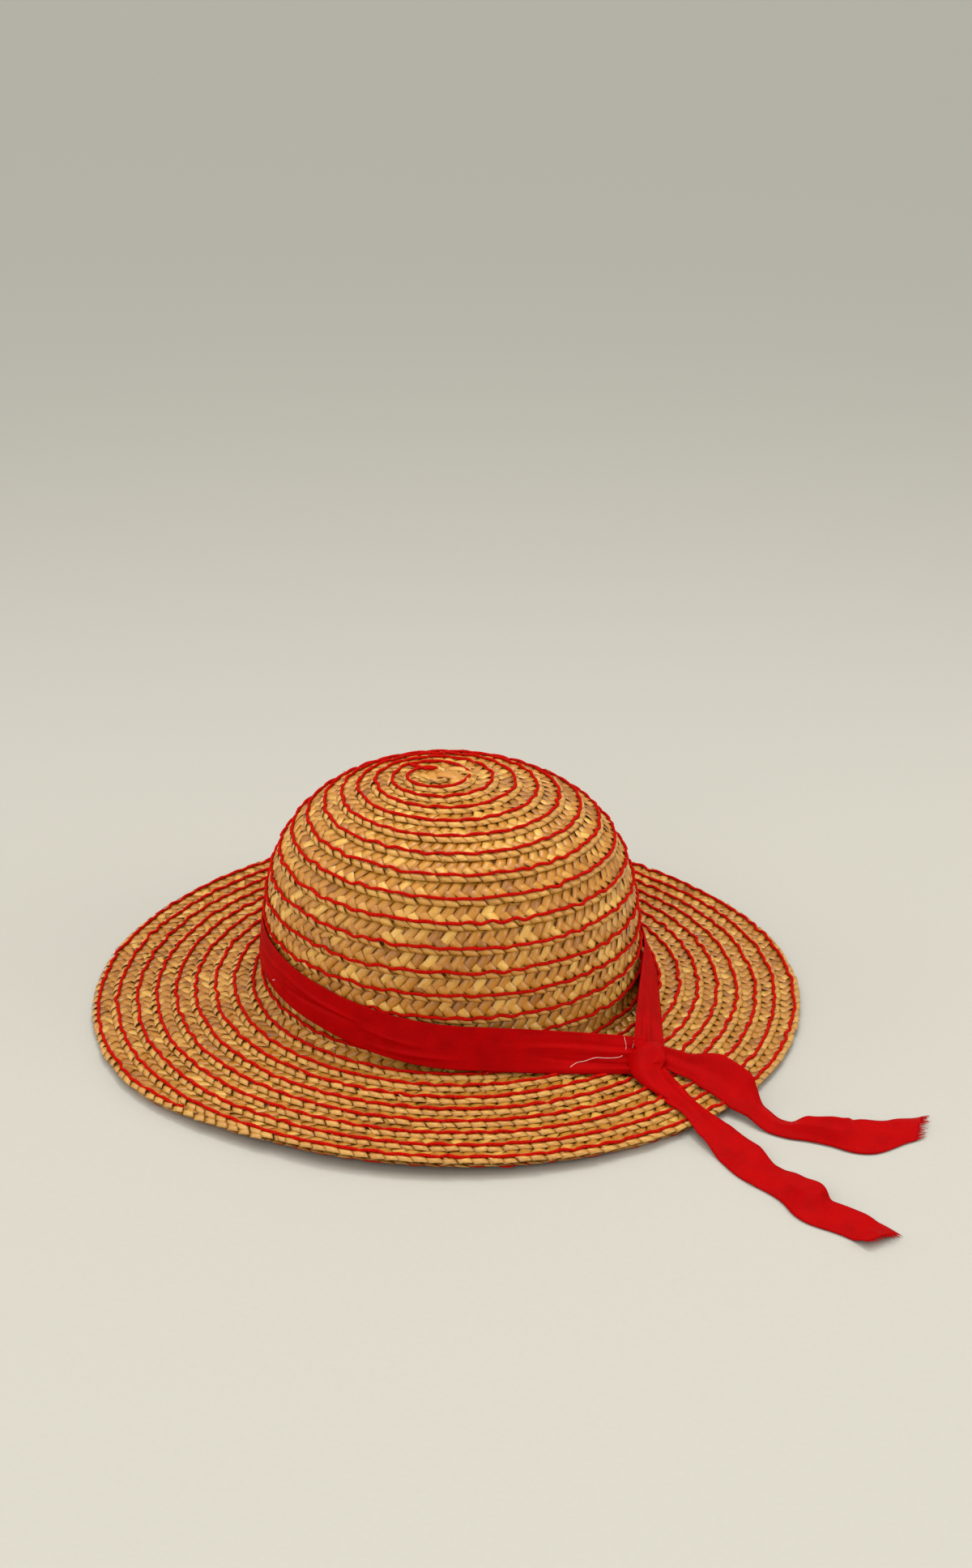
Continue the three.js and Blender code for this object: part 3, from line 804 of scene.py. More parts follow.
SHORT_TAIL_ROOT = {"aside": 0.24, "cut": 0.68}


def fold_at(folds, share):
    table = np.array(folds)
    share = min(max(share, 0), 1)
    index = min(int(np.searchsorted(table[:, 0], share, side="left")), len(table) - 1)
    before, after = table[max(index - 1, 0)], table[max(index, 1)]
    blend = smooth(share, before[0], after[0])
    heading, roll, width, crease = (before + (after - before) * blend)[1:]
    return math.radians(heading), math.radians(roll), width, crease


def knot_place(body, ribbon):
    reach = body.flat_radius + KNOT_OUT * (body.edge_radius - body.flat_radius) - CROWN_OFFSET
    out = np.array([math.cos(KNOT_DIRECTION), math.sin(KNOT_DIRECTION)])
    inner = out * (reach - ribbon.knot_breadth / 2)
    base = float(body.resting_height(*inner)) + GAP
    return np.array([*(out * reach), base + ribbon.knot_height / 2])


def band_way(body, ribbon):
    """Places and directions along the band, seen from above, and its straight run"""
    knot = knot_place(body, ribbon)
    clearance = LEDGE_HEIGHT + 2 * GAP + HALF_SOLID
    radius = body.foot_radius + clearance + ribbon.width / 2 * LEAN["leaving"]
    to_knot = knot[:2] - (CROWN_OFFSET, 0)
    reach = float(np.hypot(*to_knot))
    leaving = math.acos(radius / reach)
    straight = math.sqrt(reach**2 - radius**2)
    towards = math.atan2(to_knot[1], to_knot[0]) % (2 * math.pi)
    bend = np.linspace(towards + leaving, towards - leaving + 2 * math.pi, RING_STEPS)
    ring = np.stack([CROWN_OFFSET + radius * np.cos(bend), radius * np.sin(bend)], -1)
    way = np.concatenate([[knot[:2]], ring, [knot[:2]]])
    steps = np.concatenate([[0], np.cumsum(np.hypot(*np.diff(way, axis=0).T))])
    return way, steps, straight, radius, clearance


def band_section(body, ribbon, plan, along):
    """The band across its run: its middle, half its width, what is up from it, and the knot's reach"""
    way, steps, straight, radius, clearance = plan
    place = np.array([np.interp(along, steps, way[:, 0]), np.interp(along, steps, way[:, 1])])
    ahead = min(along + 0.5, steps[-1])
    behind = max(ahead - 1, 0)
    tangent = np.array([np.interp(ahead, steps, way[:, i]) - np.interp(behind, steps, way[:, i])
                        for i in (0, 1)])
    tangent /= np.hypot(*tangent)
    outward = np.array([tangent[1], -tangent[0]])
    from_knot = min(along, steps[-1] - along)
    near_knot = float(clamp(1 - from_knot / straight))
    settled = float(smooth(from_knot, straight, 2 * straight))
    start = LEAN["leaving"]
    end, share = (LEAN["at_knot"], near_knot) if near_knot > 0 else (LEAN["round"], settled)
    lean = start + (end - start) * share
    half = ribbon.width / 2 * (1 + (KNOT_GATHER - 1) * near_knot**2)
    half_rise, half_lean = half * math.sqrt(1 - lean**2), half * lean
    direction = math.atan2(place[1], place[0]) - BAND_HIGH_SIDE
    on_brim = float(body.resting_height(*(place + outward * half_lean)))
    tilted = ribbon.width * (BAND_MEAN + BAND_TILT * math.cos(direction))
    low_edge = max(tilted, on_brim + GAP + HALF_SOLID)
    wall_rise = float(clamp((low_edge + 2 * half_rise - body.sizes.foot_height) / body.dome))
    hugging = body.wall_radius(wall_rise) + clearance + half_lean
    middle = np.array([*(place - outward * (radius - hugging) * settled), low_edge + half_rise])
    reach = np.array([*(outward * half_lean), -half_rise])
    up = np.array([*(outward * half_rise), half_lean]) / half
    return middle, reach, up, near_knot


def tail_way(body, ribbon, folds, length, root):
    knot = knot_place(body, ribbon)
    aside = KNOT_DIRECTION + math.pi / 2
    way = [knot[:2] + root["aside"] * ribbon.width * np.array([math.cos(aside), math.sin(aside)])]
    for step in range(TAIL_STEPS):
        heading = fold_at(folds, (step + 0.5) / TAIL_STEPS)[0]
        way.append(way[-1] + np.array([math.cos(heading), math.sin(heading)]) * length / TAIL_STEPS)
    return np.array(way)


def tail_point(body, ribbon, folds, length, root, way, share, side):
    """A point of a tail: side runs from 1 at the left edge to -1 at the right edge"""
    along = share - root["cut"] * ribbon.width / length * share * (1 - side) / 2
    heading, roll, width, crease = fold_at(folds, along)
    exact = min(max(along, 0), 1) * (len(way) - 1)
    place = np.array([np.interp(exact, np.arange(len(way)), way[:, i]) for i in (0, 1)])
    half = ribbon.width * width / 2
    left = np.array([-math.sin(heading), math.cos(heading)])
    offset = left * half * math.cos(roll)
    wheres = np.array([-1, -0.5, 0, 0.5, 1])
    spots = place + offset * wheres[:, None]
    heights = body.resting_height(spots[:, 0], spots[:, 1]) - wheres * half * math.sin(roll)
    depth = max(-crease, 0) * ribbon.width
    resting = float(heights.max()) + GAP + HALF_SOLID + depth
    knot = knot_place(body, ribbon)
    rooted = float(smooth(along * length, 0, ROOT_FALL * ribbon.knot_length))
    height = max(resting, knot[2] + (resting - knot[2]) * rooted)
    spot = place + offset * side
    rise = crease * ribbon.width * (1 - abs(side)) ** 1.3 + side * half * math.sin(roll)
    return np.array([*spot, height + rise]), width


def ribbon_sheet(name, ribbon, cells, length, point_at):
    """A ribbon from a grid: its UV runs along and across it in centimetres"""
    bm = bmesh.new()
    bmesh.ops.create_grid(bm, x_segments=cells[0], y_segments=cells[1], size=0.5)
    uv = bm.loops.layers.uv.verify()
    for face in bm.faces:
        for loop in face.loops:
            spot = loop.vert.co
            u, v = spot.x + 0.5, spot.y + 0.5
            loop[uv].uv = (u * length / UV_UNIT, v * ribbon.width / UV_UNIT)
    for vert in bm.verts:
        spot = point_at(vert.co.x + 0.5, vert.co.y * 2)
        vert.co = Vector(spot) * MM + HAT_MIDDLE
    bmesh.ops.recalc_face_normals(bm, faces=bm.faces)
    bmesh.ops.solidify(bm, geom=bm.faces[:], thickness=ribbon.cloth * MM)
    bmesh.ops.recalc_face_normals(bm, faces=bm.faces)
    return new_mesh_object(name, bm)


def joined(name, pieces):
    """One piece from several"""
    bm = bmesh.new()
    for piece in pieces:
        bm.from_mesh(piece.data)
        old = piece.data
        bpy.data.objects.remove(piece)
        bpy.data.meshes.remove(old)
    return new_mesh_object(name, bm)


def hat_body():
    return Body(values(bpy.context.scene.straw_hat_sizes))


def sewn_plait(body, first, last, names, slot, node, tint_and_painted_light, seed):
    """Outer and inner plait between two turn counts, in place of a solid"""
    look = values(bpy.context.scene.plait_look)
    straw = straw_material(slot, look, tint_and_painted_light)
    lengths, _ = body.turns_along(first, last)
    count = min(round(lengths[-1] / look.pitch), MOST_CROSSINGS)
    piece, crossing = plait_line(names[0], OUTER_STRIPS, count, look, True)
    lay_plait(piece, crossing, body, look, first, last, False, seed)
    finish_piece(piece, slot, straw, node)
    piece, crossing = plait_line(names[1], INNER_STRIPS, count, look, False)
    lay_plait(piece, crossing, body, look, first, last, True, seed + 1)
    finish_piece(piece, slot, straw)


class HAT_OT_crown_braid(bpy.types.Operator):
    """Crown of sewn plait, outside and inside"""

    bl_idname = "hat.crown_braid"
    bl_label = "Crown braid"

    def execute(self, context):
        body = hat_body()
        names = ("crown_braid", "crown_inside")
        # The crown's copy of the straw is kept lighter, as painted light
        sewn_plait(body, FIRST_TURN, body.foot_turns, names, "straw_crown", "crown", CROWN_LIT_TINT, 11)
        return {"FINISHED"}


class HAT_OT_brim_braid(bpy.types.Operator):
    """Brim of sewn plait, on top and underneath"""

    bl_idname = "hat.brim_braid"
    bl_label = "Brim braid"

    def execute(self, context):
        body = hat_body()
        names = ("brim_braid", "brim_underside")
        # The brim's copy of the straw is darkened, as painted shade
        sewn_plait(body, body.foot_turns, body.last_turns, names, "straw_brim", "brim", BRIM_SHADED_TINT, 21)
        return {"FINISHED"}


# Thread. Millimetres between its bends, between the needle's holes and between its points.
BEND_EVERY = 5.0
STITCH = 11.5
THREAD_STEP = 1.3
# Its bends, as shares of its wander: by chance, to each side in turn, and moved along the row
BEND_SPREAD = 0.7
BEND_SWING = 0.8
BEND_SHIFT = 0.25
SOFTENED = (0.2, 0.6, 0.2)
# Its height over the straw and the rise of a stitch between two holes, in millimetres or widths
THREAD_ABOVE = 0.5
STITCH_RISE = 0.42
THREAD_TUCK = 1.6
THREAD_LOWEST = 0.45
STITCH_ROUNDNESS = 0.5
# Thickness at a hole, and how much is added between two holes
THIN, THICKER = 0.8, 0.28
INNER_THREAD = {"above": 0.35, "rise": 0.2, "width": 0.75}
CROWN_THREAD_START = 1.2


def bare_line(name, width, roundness):
    curve = bpy.data.curves.new(name, "CURVE")
    curve.dimensions = "3D"
    curve.bevel_depth = width / 2 * MM
    curve.bevel_resolution = roundness
    curve.use_fill_caps = True
    return curve


def add_line(curve, points, swelling=None):
    """A line of the curve through points in millimetres, thicker and thinner by swelling"""
    line = curve.splines.new("POLY")
    line.points.add(len(points) - 1)
    placed = np.asarray(points) * MM + np.array(HAT_MIDDLE)
    line.points.foreach_set("co", np.hstack([placed, np.ones((len(placed), 1))]).ravel())
    if swelling is not None:
        line.points.foreach_set("radius", swelling)


def curve_to_piece(name, curve):
    holder = bpy.data.objects.new(name + "_line", curve)
    bpy.context.scene.collection.objects.link(holder)
    graph = bpy.context.evaluated_depsgraph_get()
    mesh = bpy.data.meshes.new_from_object(holder.evaluated_get(graph))
    mesh.name = name
    bpy.data.objects.remove(holder)
    bpy.data.curves.remove(curve)
    piece = bpy.data.objects.new(name, mesh)
    bpy.context.scene.collection.objects.link(piece)
    return piece


def thread_tube(name, points, width, swelling=None):
    """A round thread, made from a bevelled curve"""
    curve = bare_line(name, width, 1)
    add_line(curve, points, swelling)
    return curve_to_piece(name, curve)


def stitch_points(body, look, thread, first, last, inner, seed):
    """The sewing line: long stitches that swing to and fro and dip where the needle went in"""
    random = np.random.RandomState(seed)
    lengths, counts = body.turns_along(first, last)
    total = lengths[-1]
    along = np.arange(0, total, THREAD_STEP)
    bends = int(total / BEND_EVERY) + 2
    sides = np.where(np.arange(bends) % 2, 1, -1)
    swing = random.normal(0, BEND_SPREAD, bends) + BEND_SWING * sides
    places = (np.arange(bends) + random.uniform(-BEND_SHIFT, BEND_SHIFT, bends)) * BEND_EVERY
    spread = np.interp(along, places, swing)
    spread = np.convolve(np.pad(spread, 1, mode="edge"), SOFTENED, mode="valid")
    arch = np.abs(np.sin(along / STITCH * math.pi)) ** STITCH_ROUNDNESS
    turns = np.interp(along, lengths, counts)
    inside = thread.inset + thread.wander * spread
    top = look.rise * (1 - inside / body.sizes.crown_row)
    edge, tucked = body.row_edge(turns), body.tucked(turns)
    above = THREAD_ABOVE + thread.width * STITCH_RISE * arch
    lift = top + above - body.sunk(edge, look.sink) - THREAD_TUCK * tucked
    if inner:
        lift = -(body.sizes.thickness + INNER_THREAD["above"] + INNER_THREAD["rise"] * arch)
    squeeze = body.squeeze(edge)
    edge = edge - body.brim_pitch * TUCK_SHARE * tucked
    points = body.point(edge - inside * squeeze, lift, turns * 2 * math.pi)
    points[:, 2] = np.maximum(points[:, 2], thread.width * THREAD_LOWEST)
    return points, THIN + THICKER * arch


class HAT_OT_threads(bpy.types.Operator):
    """Red sewing thread along every row"""

    bl_idname = "hat.threads"
    bl_label = "Sewing thread"

    def execute(self, context):
        body, look = hat_body(), values(context.scene.plait_look)
        thread = values(context.scene.thread_look)
        red = yarn_material("thread_red", thread.red)
        foot = body.foot_turns
        for name, first, last, slot, seed in (
            ("crown_thread", CROWN_THREAD_START, foot, "straw_crown", 31),
            ("brim_thread", foot, body.last_turns - TUCK_TURNS / 2, "straw_brim", 32),
        ):
            points, swelling = stitch_points(body, look, thread, first, last, False, seed)
            finish_piece(thread_tube(name, points, thread.width, swelling), slot, red)
            points, swelling = stitch_points(body, look, thread, first, last, True, seed + 5)
            width = thread.width * INNER_THREAD["width"]
            inside = thread_tube(name + "_inside", points, width, swelling)
            finish_piece(inside, slot, red)
        return {"FINISHED"}


# Cloth of the band. Its height over the solid is in millimetres.
BAND_LIFT = 0.25
WAVINESS = {"depth": 0.12, "along": 0.11, "across": 2.1}
# Long creases: centre and drift across the band from -1 to 1, depth in millimetres, and beat,
# which is how fast they wander, in radians a millimetre
BAND_CREASES = (
    (0.35, 0.25, 0.8, 0.021),
    (-0.2, 0.3, -0.9, 0.027),
    (-0.65, 0.12, 0.75, 0.036),
    (0.05, 0.2, 0.7, 0.044),
)
CREASE_WIDTH = 0.1
CREASE_FADING = 1.7
CREASE_SHIFT = 9
# Gathers at the knot: depth in millimetres, folds across, shift
GATHERS = ((0.8, 7.5, 1), (0.4, 13, 0))


def band_relief(along, side, near_knot):
    """Rise of the band's cloth over its plain run"""
    rise = WAVINESS["depth"] * math.sin(along * WAVINESS["along"] + side * WAVINESS["across"])
    rise *= 1 - abs(side) ** 3
    for centre, drift, depth, beat in BAND_CREASES:
        ridge = centre + drift * math.sin(along * beat)
        strength = depth * max(math.sin(along * beat * CREASE_FADING + centre * CREASE_SHIFT), 0)
        rise += strength * math.exp(-(((side - ridge) / CREASE_WIDTH) ** 2))
    gathers = sum(depth * math.sin(side * folds + shift) for depth, folds, shift in GATHERS)
    return rise + near_knot**1.5 * gathers + BAND_LIFT


class HAT_OT_band(bpy.types.Operator):
    """Ribbon round the foot of the crown"""

    bl_idname = "hat.band"
    bl_label = "Ribbon band"

    def execute(self, context):
        body, ribbon = hat_body(), values(context.scene.ribbon_look)
        plan = band_way(body, ribbon)
        total = plan[1][-1]

        def point_at(share, side):
            along = share * total
            middle, reach, up, near_knot = band_section(body, ribbon, plan, along)
            return middle - reach * side + up * band_relief(along, side, near_knot)

        red = ribbon_red()
        piece = ribbon_sheet("band_ribbon", ribbon, BAND_CELLS, total, point_at)
        finish_piece(piece, "ribbon", red, "band")
        return {"FINISHED"}


def ribbon_red():
    found = bpy.data.materials.get("ribbon_red")
    return found or ribbon_material("ribbon_red", values(bpy.context.scene.ribbon_look).red)


# Ripples where a tail is gathered. height: millimetres. across, along: folds in radians.
TAIL_RIPPLE = {"height": 1.3, "across": 5.2, "along": 9}
TAIL_LIFT = 0.1


class HAT_OT_tails(bpy.types.Operator):
    """The two loose ends of the ribbon"""

    bl_idname = "hat.tails"
    bl_label = "Ribbon tails"

    def execute(self, context):
        body, ribbon = hat_body(), values(context.scene.ribbon_look)
        red = ribbon_red()
        for name, node, folds, length, root, phase in (
            ("tail_front", "tail_long", LONG_TAIL_FOLDS, ribbon.long_tail, LONG_TAIL_ROOT, 0.4),
            ("tail_back", "tail_short", SHORT_TAIL_FOLDS, ribbon.short_tail, SHORT_TAIL_ROOT, 2.2),
        ):
            way = tail_way(body, ribbon, folds, length, root)

            def point_at(share, side, folds=folds, length=length, root=root, way=way, phase=phase):
                spot, width = tail_point(body, ribbon, folds, length, root, way, share, side)
                slack = max(1 - width, 0)
                turn = side * TAIL_RIPPLE["across"] + phase + share * TAIL_RIPPLE["along"]
                ripple = TAIL_RIPPLE["height"] * slack * (1 + math.sin(turn))
                spot[2] += ripple * (1 - abs(side) ** 4) + TAIL_LIFT
                return spot

            piece = ribbon_sheet(name, ribbon, TAIL_CELLS, length, point_at)
            finish_piece(piece, "ribbon", red, node)
        return {"FINISHED"}


# The strip over the knot. x, y: millimetres from the knot's middle. height: over what it lies on.
# width: millimetres. drop: how far its edges turn down.
KNOT_WRAP = (
    {"x": -1.2, "y": 14.0, "height": 3.0, "width": 15.0, "drop": 0.5},
    {"x": -1.0, "y": 8.5, "height": 8.8, "width": 18.0, "drop": 3.0},
    {"x": -1.6, "y": -0.5, "height": 10.4, "width": 18.0, "drop": 4.4},
    {"x": -1.4, "y": -9.5, "height": 7.4, "width": 14.0, "drop": 3.6},
    {"x": 3.0, "y": -17.5, "height": 3.8, "width": 9.0, "drop": 1.8},
    {"x": 11.0, "y": -28.0, "height": 1.6, "width": 2.4, "drop": 0.4},
)
WRAP_LENGTH = 50
WRAP_CREASE = {"depth": 0.5, "turns": 5}
EDGE_ROUNDNESS = 1.1
# A share of the strip's length, to read its heading from both sides of a place
HEADING_STEP = 0.02

# The filling under it, as shares of the knot's half sizes
LUMP_CELLS = {"u_segments": 48, "v_segments": 28}
LUMP_SQUARENESS = 0.8
LUMP_SIDES = 0.8
LUMP_SWELL = 0.84
LUMP_HEIGHT = 0.85
LUMP_DROP = 0.12
LUMP_PLEATS = (0.05, 0.04)


def along_table(table, key, share):
    """A smooth value between the rows of a table, with share from 0 to 1"""
    column = [row[key] for row in table]
    exact = min(max(share, 0), 1) * (len(column) - 1)
    index = min(int(exact), len(column) - 2)
    part = exact - index
    before, start, end, after = (column[min(max(index + step, 0), len(column) - 1)]
                                 for step in (-1, 0, 1, 2))
    slope_in, slope_out = (end - before) / 2, (after - start) / 2
    square, cube = part**2, part**3
    return ((2 * cube - 3 * square + 1) * start + (cube - 2 * square + part) * slope_in
            + (3 * square - 2 * cube) * end + (cube - square) * slope_out)


def knot_lump(ribbon, centre):
    """The knot's filling: a rounded lump with pleats"""
    turn = Matrix.Rotation(KNOT_DIRECTION, 3, "Z")
    halves = (ribbon.knot_length / 2, ribbon.knot_breadth / 2, ribbon.knot_height / 2)
    bm = bmesh.new()
    made = bmesh.ops.create_uvsphere(bm, radius=1, **LUMP_CELLS)
    for vert in made["verts"]:
        x, y, z = (math.copysign(abs(part) ** LUMP_SQUARENESS, part) for part in vert.co)
        pleat = LUMP_PLEATS[0] * math.sin(y * 10 + x * 4) + LUMP_PLEATS[1] * math.sin(x * 9)
        swell = LUMP_SWELL + pleat
        sized = Vector((halves[0] * x * LUMP_SIDES, halves[1] * y * swell * LUMP_SIDES,
                        halves[2] * (z * swell * LUMP_HEIGHT - LUMP_DROP)))
        vert.co = (turn @ sized + centre) * MM + HAT_MIDDLE
    bmesh.ops.recalc_face_normals(bm, faces=bm.faces)
    return new_mesh_object("knot_lump", bm)


class HAT_OT_knot(bpy.types.Operator):
    """The knot: a filling, and the strip that wraps it and leads into the front tail"""

    bl_idname = "hat.knot"
    bl_label = "Ribbon knot"

    def execute(self, context):
        body, ribbon = hat_body(), values(context.scene.ribbon_look)
        centre = Vector(knot_place(body, ribbon))
        lump = knot_lump(ribbon, centre)

        def wrap_at(share, side):
            x, y = (along_table(KNOT_WRAP, key, share) for key in ("x", "y"))
            ahead = [along_table(KNOT_WRAP, key, share + HEADING_STEP) for key in ("x", "y")]
            behind = [along_table(KNOT_WRAP, key, share - HEADING_STEP) for key in ("x", "y")]
            heading = Vector((ahead[0] - behind[0], ahead[1] - behind[1])).normalized()
            half = along_table(KNOT_WRAP, "width", share) / 2
            drop = along_table(KNOT_WRAP, "drop", share)
            reach = half * math.sin(side * math.pi / 2) if drop > 1 else half * side
            middle = centre.xy + Vector((x, y))
            spot = middle + Vector((heading.y, -heading.x)) * -reach
            fall = drop * (1 - math.cos(side * math.pi / 2)) ** EDGE_ROUNDNESS
            turns = WRAP_CREASE["turns"]
            crease = WRAP_CREASE["depth"] * math.sin(side * turns + share * turns)
            crease *= math.sin(share * math.pi)
            rest = float(body.resting_height(*middle))
            height = rest + along_table(KNOT_WRAP, "height", share) - fall + crease
            return Vector((spot.x, spot.y, height))

        wrap = ribbon_sheet("knot_wrap", ribbon, WRAP_CELLS, WRAP_LENGTH, wrap_at)
        piece = joined("ribbon_knot", [lump, wrap])
        finish_piece(piece, "ribbon", ribbon_red(), "knot")
        return {"FINISHED"}


# Small things: loose threads, frayed ends, the braid's start and broken straws

FIBRE_TIP = 0.45
LINE_STEPS = 4
RAY_START = 200
# Points of the outline that lie on the crown's top
TOP_STEPS = 200

# Places of the loose thread, the lint and the thread's start, in millimetres from the middle
LOOSE_THREAD = (
    (56.6, -97.1), (59.6, -94.8), (63.3, -93.5), (68.2, -92.3), (73.0, -91.8), (77.5, -91.1),
    (80.4, -90.4), (82.5, -86.4), (81.7, -83.4), (84.0, -82.0), (86.0, -83.6), (85.4, -86.4),
)
LINT = ((-82.2, -44.5), (-51.6, -80.2))
START_THREAD = ((-19.0, 14.0), (-16.0, 11.0), (-12.5, 7.6), (-9.0, 6.4), (-7.5, 7.4))

# The braid's folded start on the crown. from, to: millimetres from the hat's middle.
# lift: over the crown at the start, middle and end.
STRAW_START = (
    {"from": (-6.5, 3.0), "to": (6.0, -2.5), "width": 8.5, "lift": (0.1, 1.2, 0.0)},
    {"from": (1.5, 6.5), "to": (3.5, -8.0), "width": 6.5, "lift": (-0.3, 0.6, -0.4)},
    {"from": (-9.0, 6.0), "to": (-7.5, -6.0), "width": 5.0, "lift": (-0.1, 0.6, -0.3)},
    {"from": (-14.0, 4.0), "to": (-8.0, -6.0), "width": 4.5, "lift": (-0.3, 0.4, -0.4)},
    {"from": (-0.5, 10.0), "to": (9.0, 7.0), "width": 4.5, "lift": (-0.2, 0.7, -0.2)},
    {"from": (4.5, -2.5), "to": (10.5, -5.5), "width": 4.5, "lift": (-0.2, 0.5, -0.4)},
    {"from": (6.0, 5.0), "to": (11.5, 1.0), "width": 2.6, "lift": (0.1, 1.1, 0.1)},
)

# width: millimetres. above: over what it lies on.
LOOSE = {"width": 0.42, "above": 0.3}
SPECK = {"width": 0.8, "above": 0.35}
START_ABOVE = 1.9
START_WIDTH = 1.1

# Frays of a tail's end. edge: share of the half width. reach: share of how jagged the end is.
# before: share of the tail, to read its heading. The rest is in millimetres.
FRAYS = {"count": 46, "width": 0.38, "edge": 0.97, "before": 0.985, "reach": (0.35, 1.3),
         "drift": 0.45, "rise": (-0.4, 0.3), "rooted": 0.8, "lift": 0.1, "lowest": 0.3}
LONG_TAIL_JAGGED = 2.4
SHORT_TAIL_JAGGED = 4.0

# Broken straws. first, last: turns left free at the rows' ends. slant: across the row for each
# along it. root, middle, tip: over lift. The rest is in millimetres too.
SLIVERS = {"count": 90, "width": 0.55, "first": 1.2, "last": 0.3, "from_edge": (0.3, 5),
           "slant": 0.8, "reach": (1.5, 4.5), "lift": 1.3, "root": -0.5, "middle": 0.25,
           "tip": (0.2, 1.2)}
# Tones, from 0 for dark to 1 for pale: of a broken straw, least and spread, and of the start
SLIVER_TONES = (0.75, 0.2)
START_TONES = (0.35, 0.75)

# Cells, UV width, drawn down edges and height of the start's straws
LEAF = {"cells": (6, 4), "uv": 0.45, "edges": 1.1, "above": 0.9}


def fibres(name, lines, width):
    """Many thin fibres in one mesh, each through its own points and thinner towards its tip"""
    curve = bare_line(name, width, 0)
    for points in lines:
        add_line(curve, points, np.linspace(1, FIBRE_TIP, len(points)))
    return curve_to_piece(name, curve)


def trees_of(*names):
    graph = bpy.context.evaluated_depsgraph_get()
    return [BVHTree.FromObject(bpy.data.objects[name], graph) for name in names]


def on_top_of(trees, x, y, above):
    """The highest point of some pieces over a place given in millimetres"""
    start = Vector((x, y, RAY_START)) * MM + HAT_MIDDLE
    hits = [tree.ray_cast(start, Vector((0, 0, -1)))[0] for tree in trees]
    heights = [(hit.z - HAT_MIDDLE.z) / MM for hit in hits if hit is not None]
    return (x, y, max(heights) + above)


def frayed_lines(body, ribbon, random):
    """Fibres that stand out of the cut ends of both tails"""
    lines = []
    for folds, length, root, jagged in (
        (LONG_TAIL_FOLDS, ribbon.long_tail, LONG_TAIL_ROOT, LONG_TAIL_JAGGED),
        (SHORT_TAIL_FOLDS, ribbon.short_tail, SHORT_TAIL_ROOT, SHORT_TAIL_JAGGED),
    ):
        way = tail_way(body, ribbon, folds, length, root)
        for side in np.linspace(-FRAYS["edge"], FRAYS["edge"], FRAYS["count"]):
            end, _ = tail_point(body, ribbon, folds, length, root, way, 1.0, side)
            before, _ = tail_point(body, ribbon, folds, length, root, way, FRAYS["before"], side)
            ahead = (end - before) / np.linalg.norm(end - before)
            reach = jagged * random.uniform(*FRAYS["reach"])
            drift = random.normal(0, FRAYS["drift"], 2)
            middle = end + ahead * reach * 0.5 + (*(drift * 0.4), FRAYS["lift"])
            tip = end + ahead * reach + (*drift, random.uniform(*FRAYS["rise"]))
            tip[2] = max(tip[2], FRAYS["lowest"])
            middle[2] = max(middle[2], FRAYS["lowest"] + FRAYS["lift"])
            lines.append([end - ahead * FRAYS["rooted"] + (0, 0, FRAYS["lift"]), middle, tip])
    return lines


def sliver_lines(body, random):
    """Broken straws that stand off the braid, anywhere on the hat"""
    lines = []
    steps = np.array([0, 0.5, 1])
    for _ in range(SLIVERS["count"]):
        turns = random.uniform(SLIVERS["first"], body.last_turns - SLIVERS["last"])
        angle = turns * 2 * math.pi
        distance = float(body.row_edge(turns)) - random.uniform(*SLIVERS["from_edge"])
        across = random.uniform(-SLIVERS["slant"], SLIVERS["slant"])
        reach = random.uniform(*SLIVERS["reach"])
        radius = float(np.interp(distance, body.d, body.r))
        rises = [SLIVERS["root"], SLIVERS["middle"], random.uniform(*SLIVERS["tip"])]
        lift = SLIVERS["lift"] + np.array(rises)
        line = body.point(distance + steps * reach * across, lift, angle + steps * reach / radius)
        lines.append(list(line))
    return lines


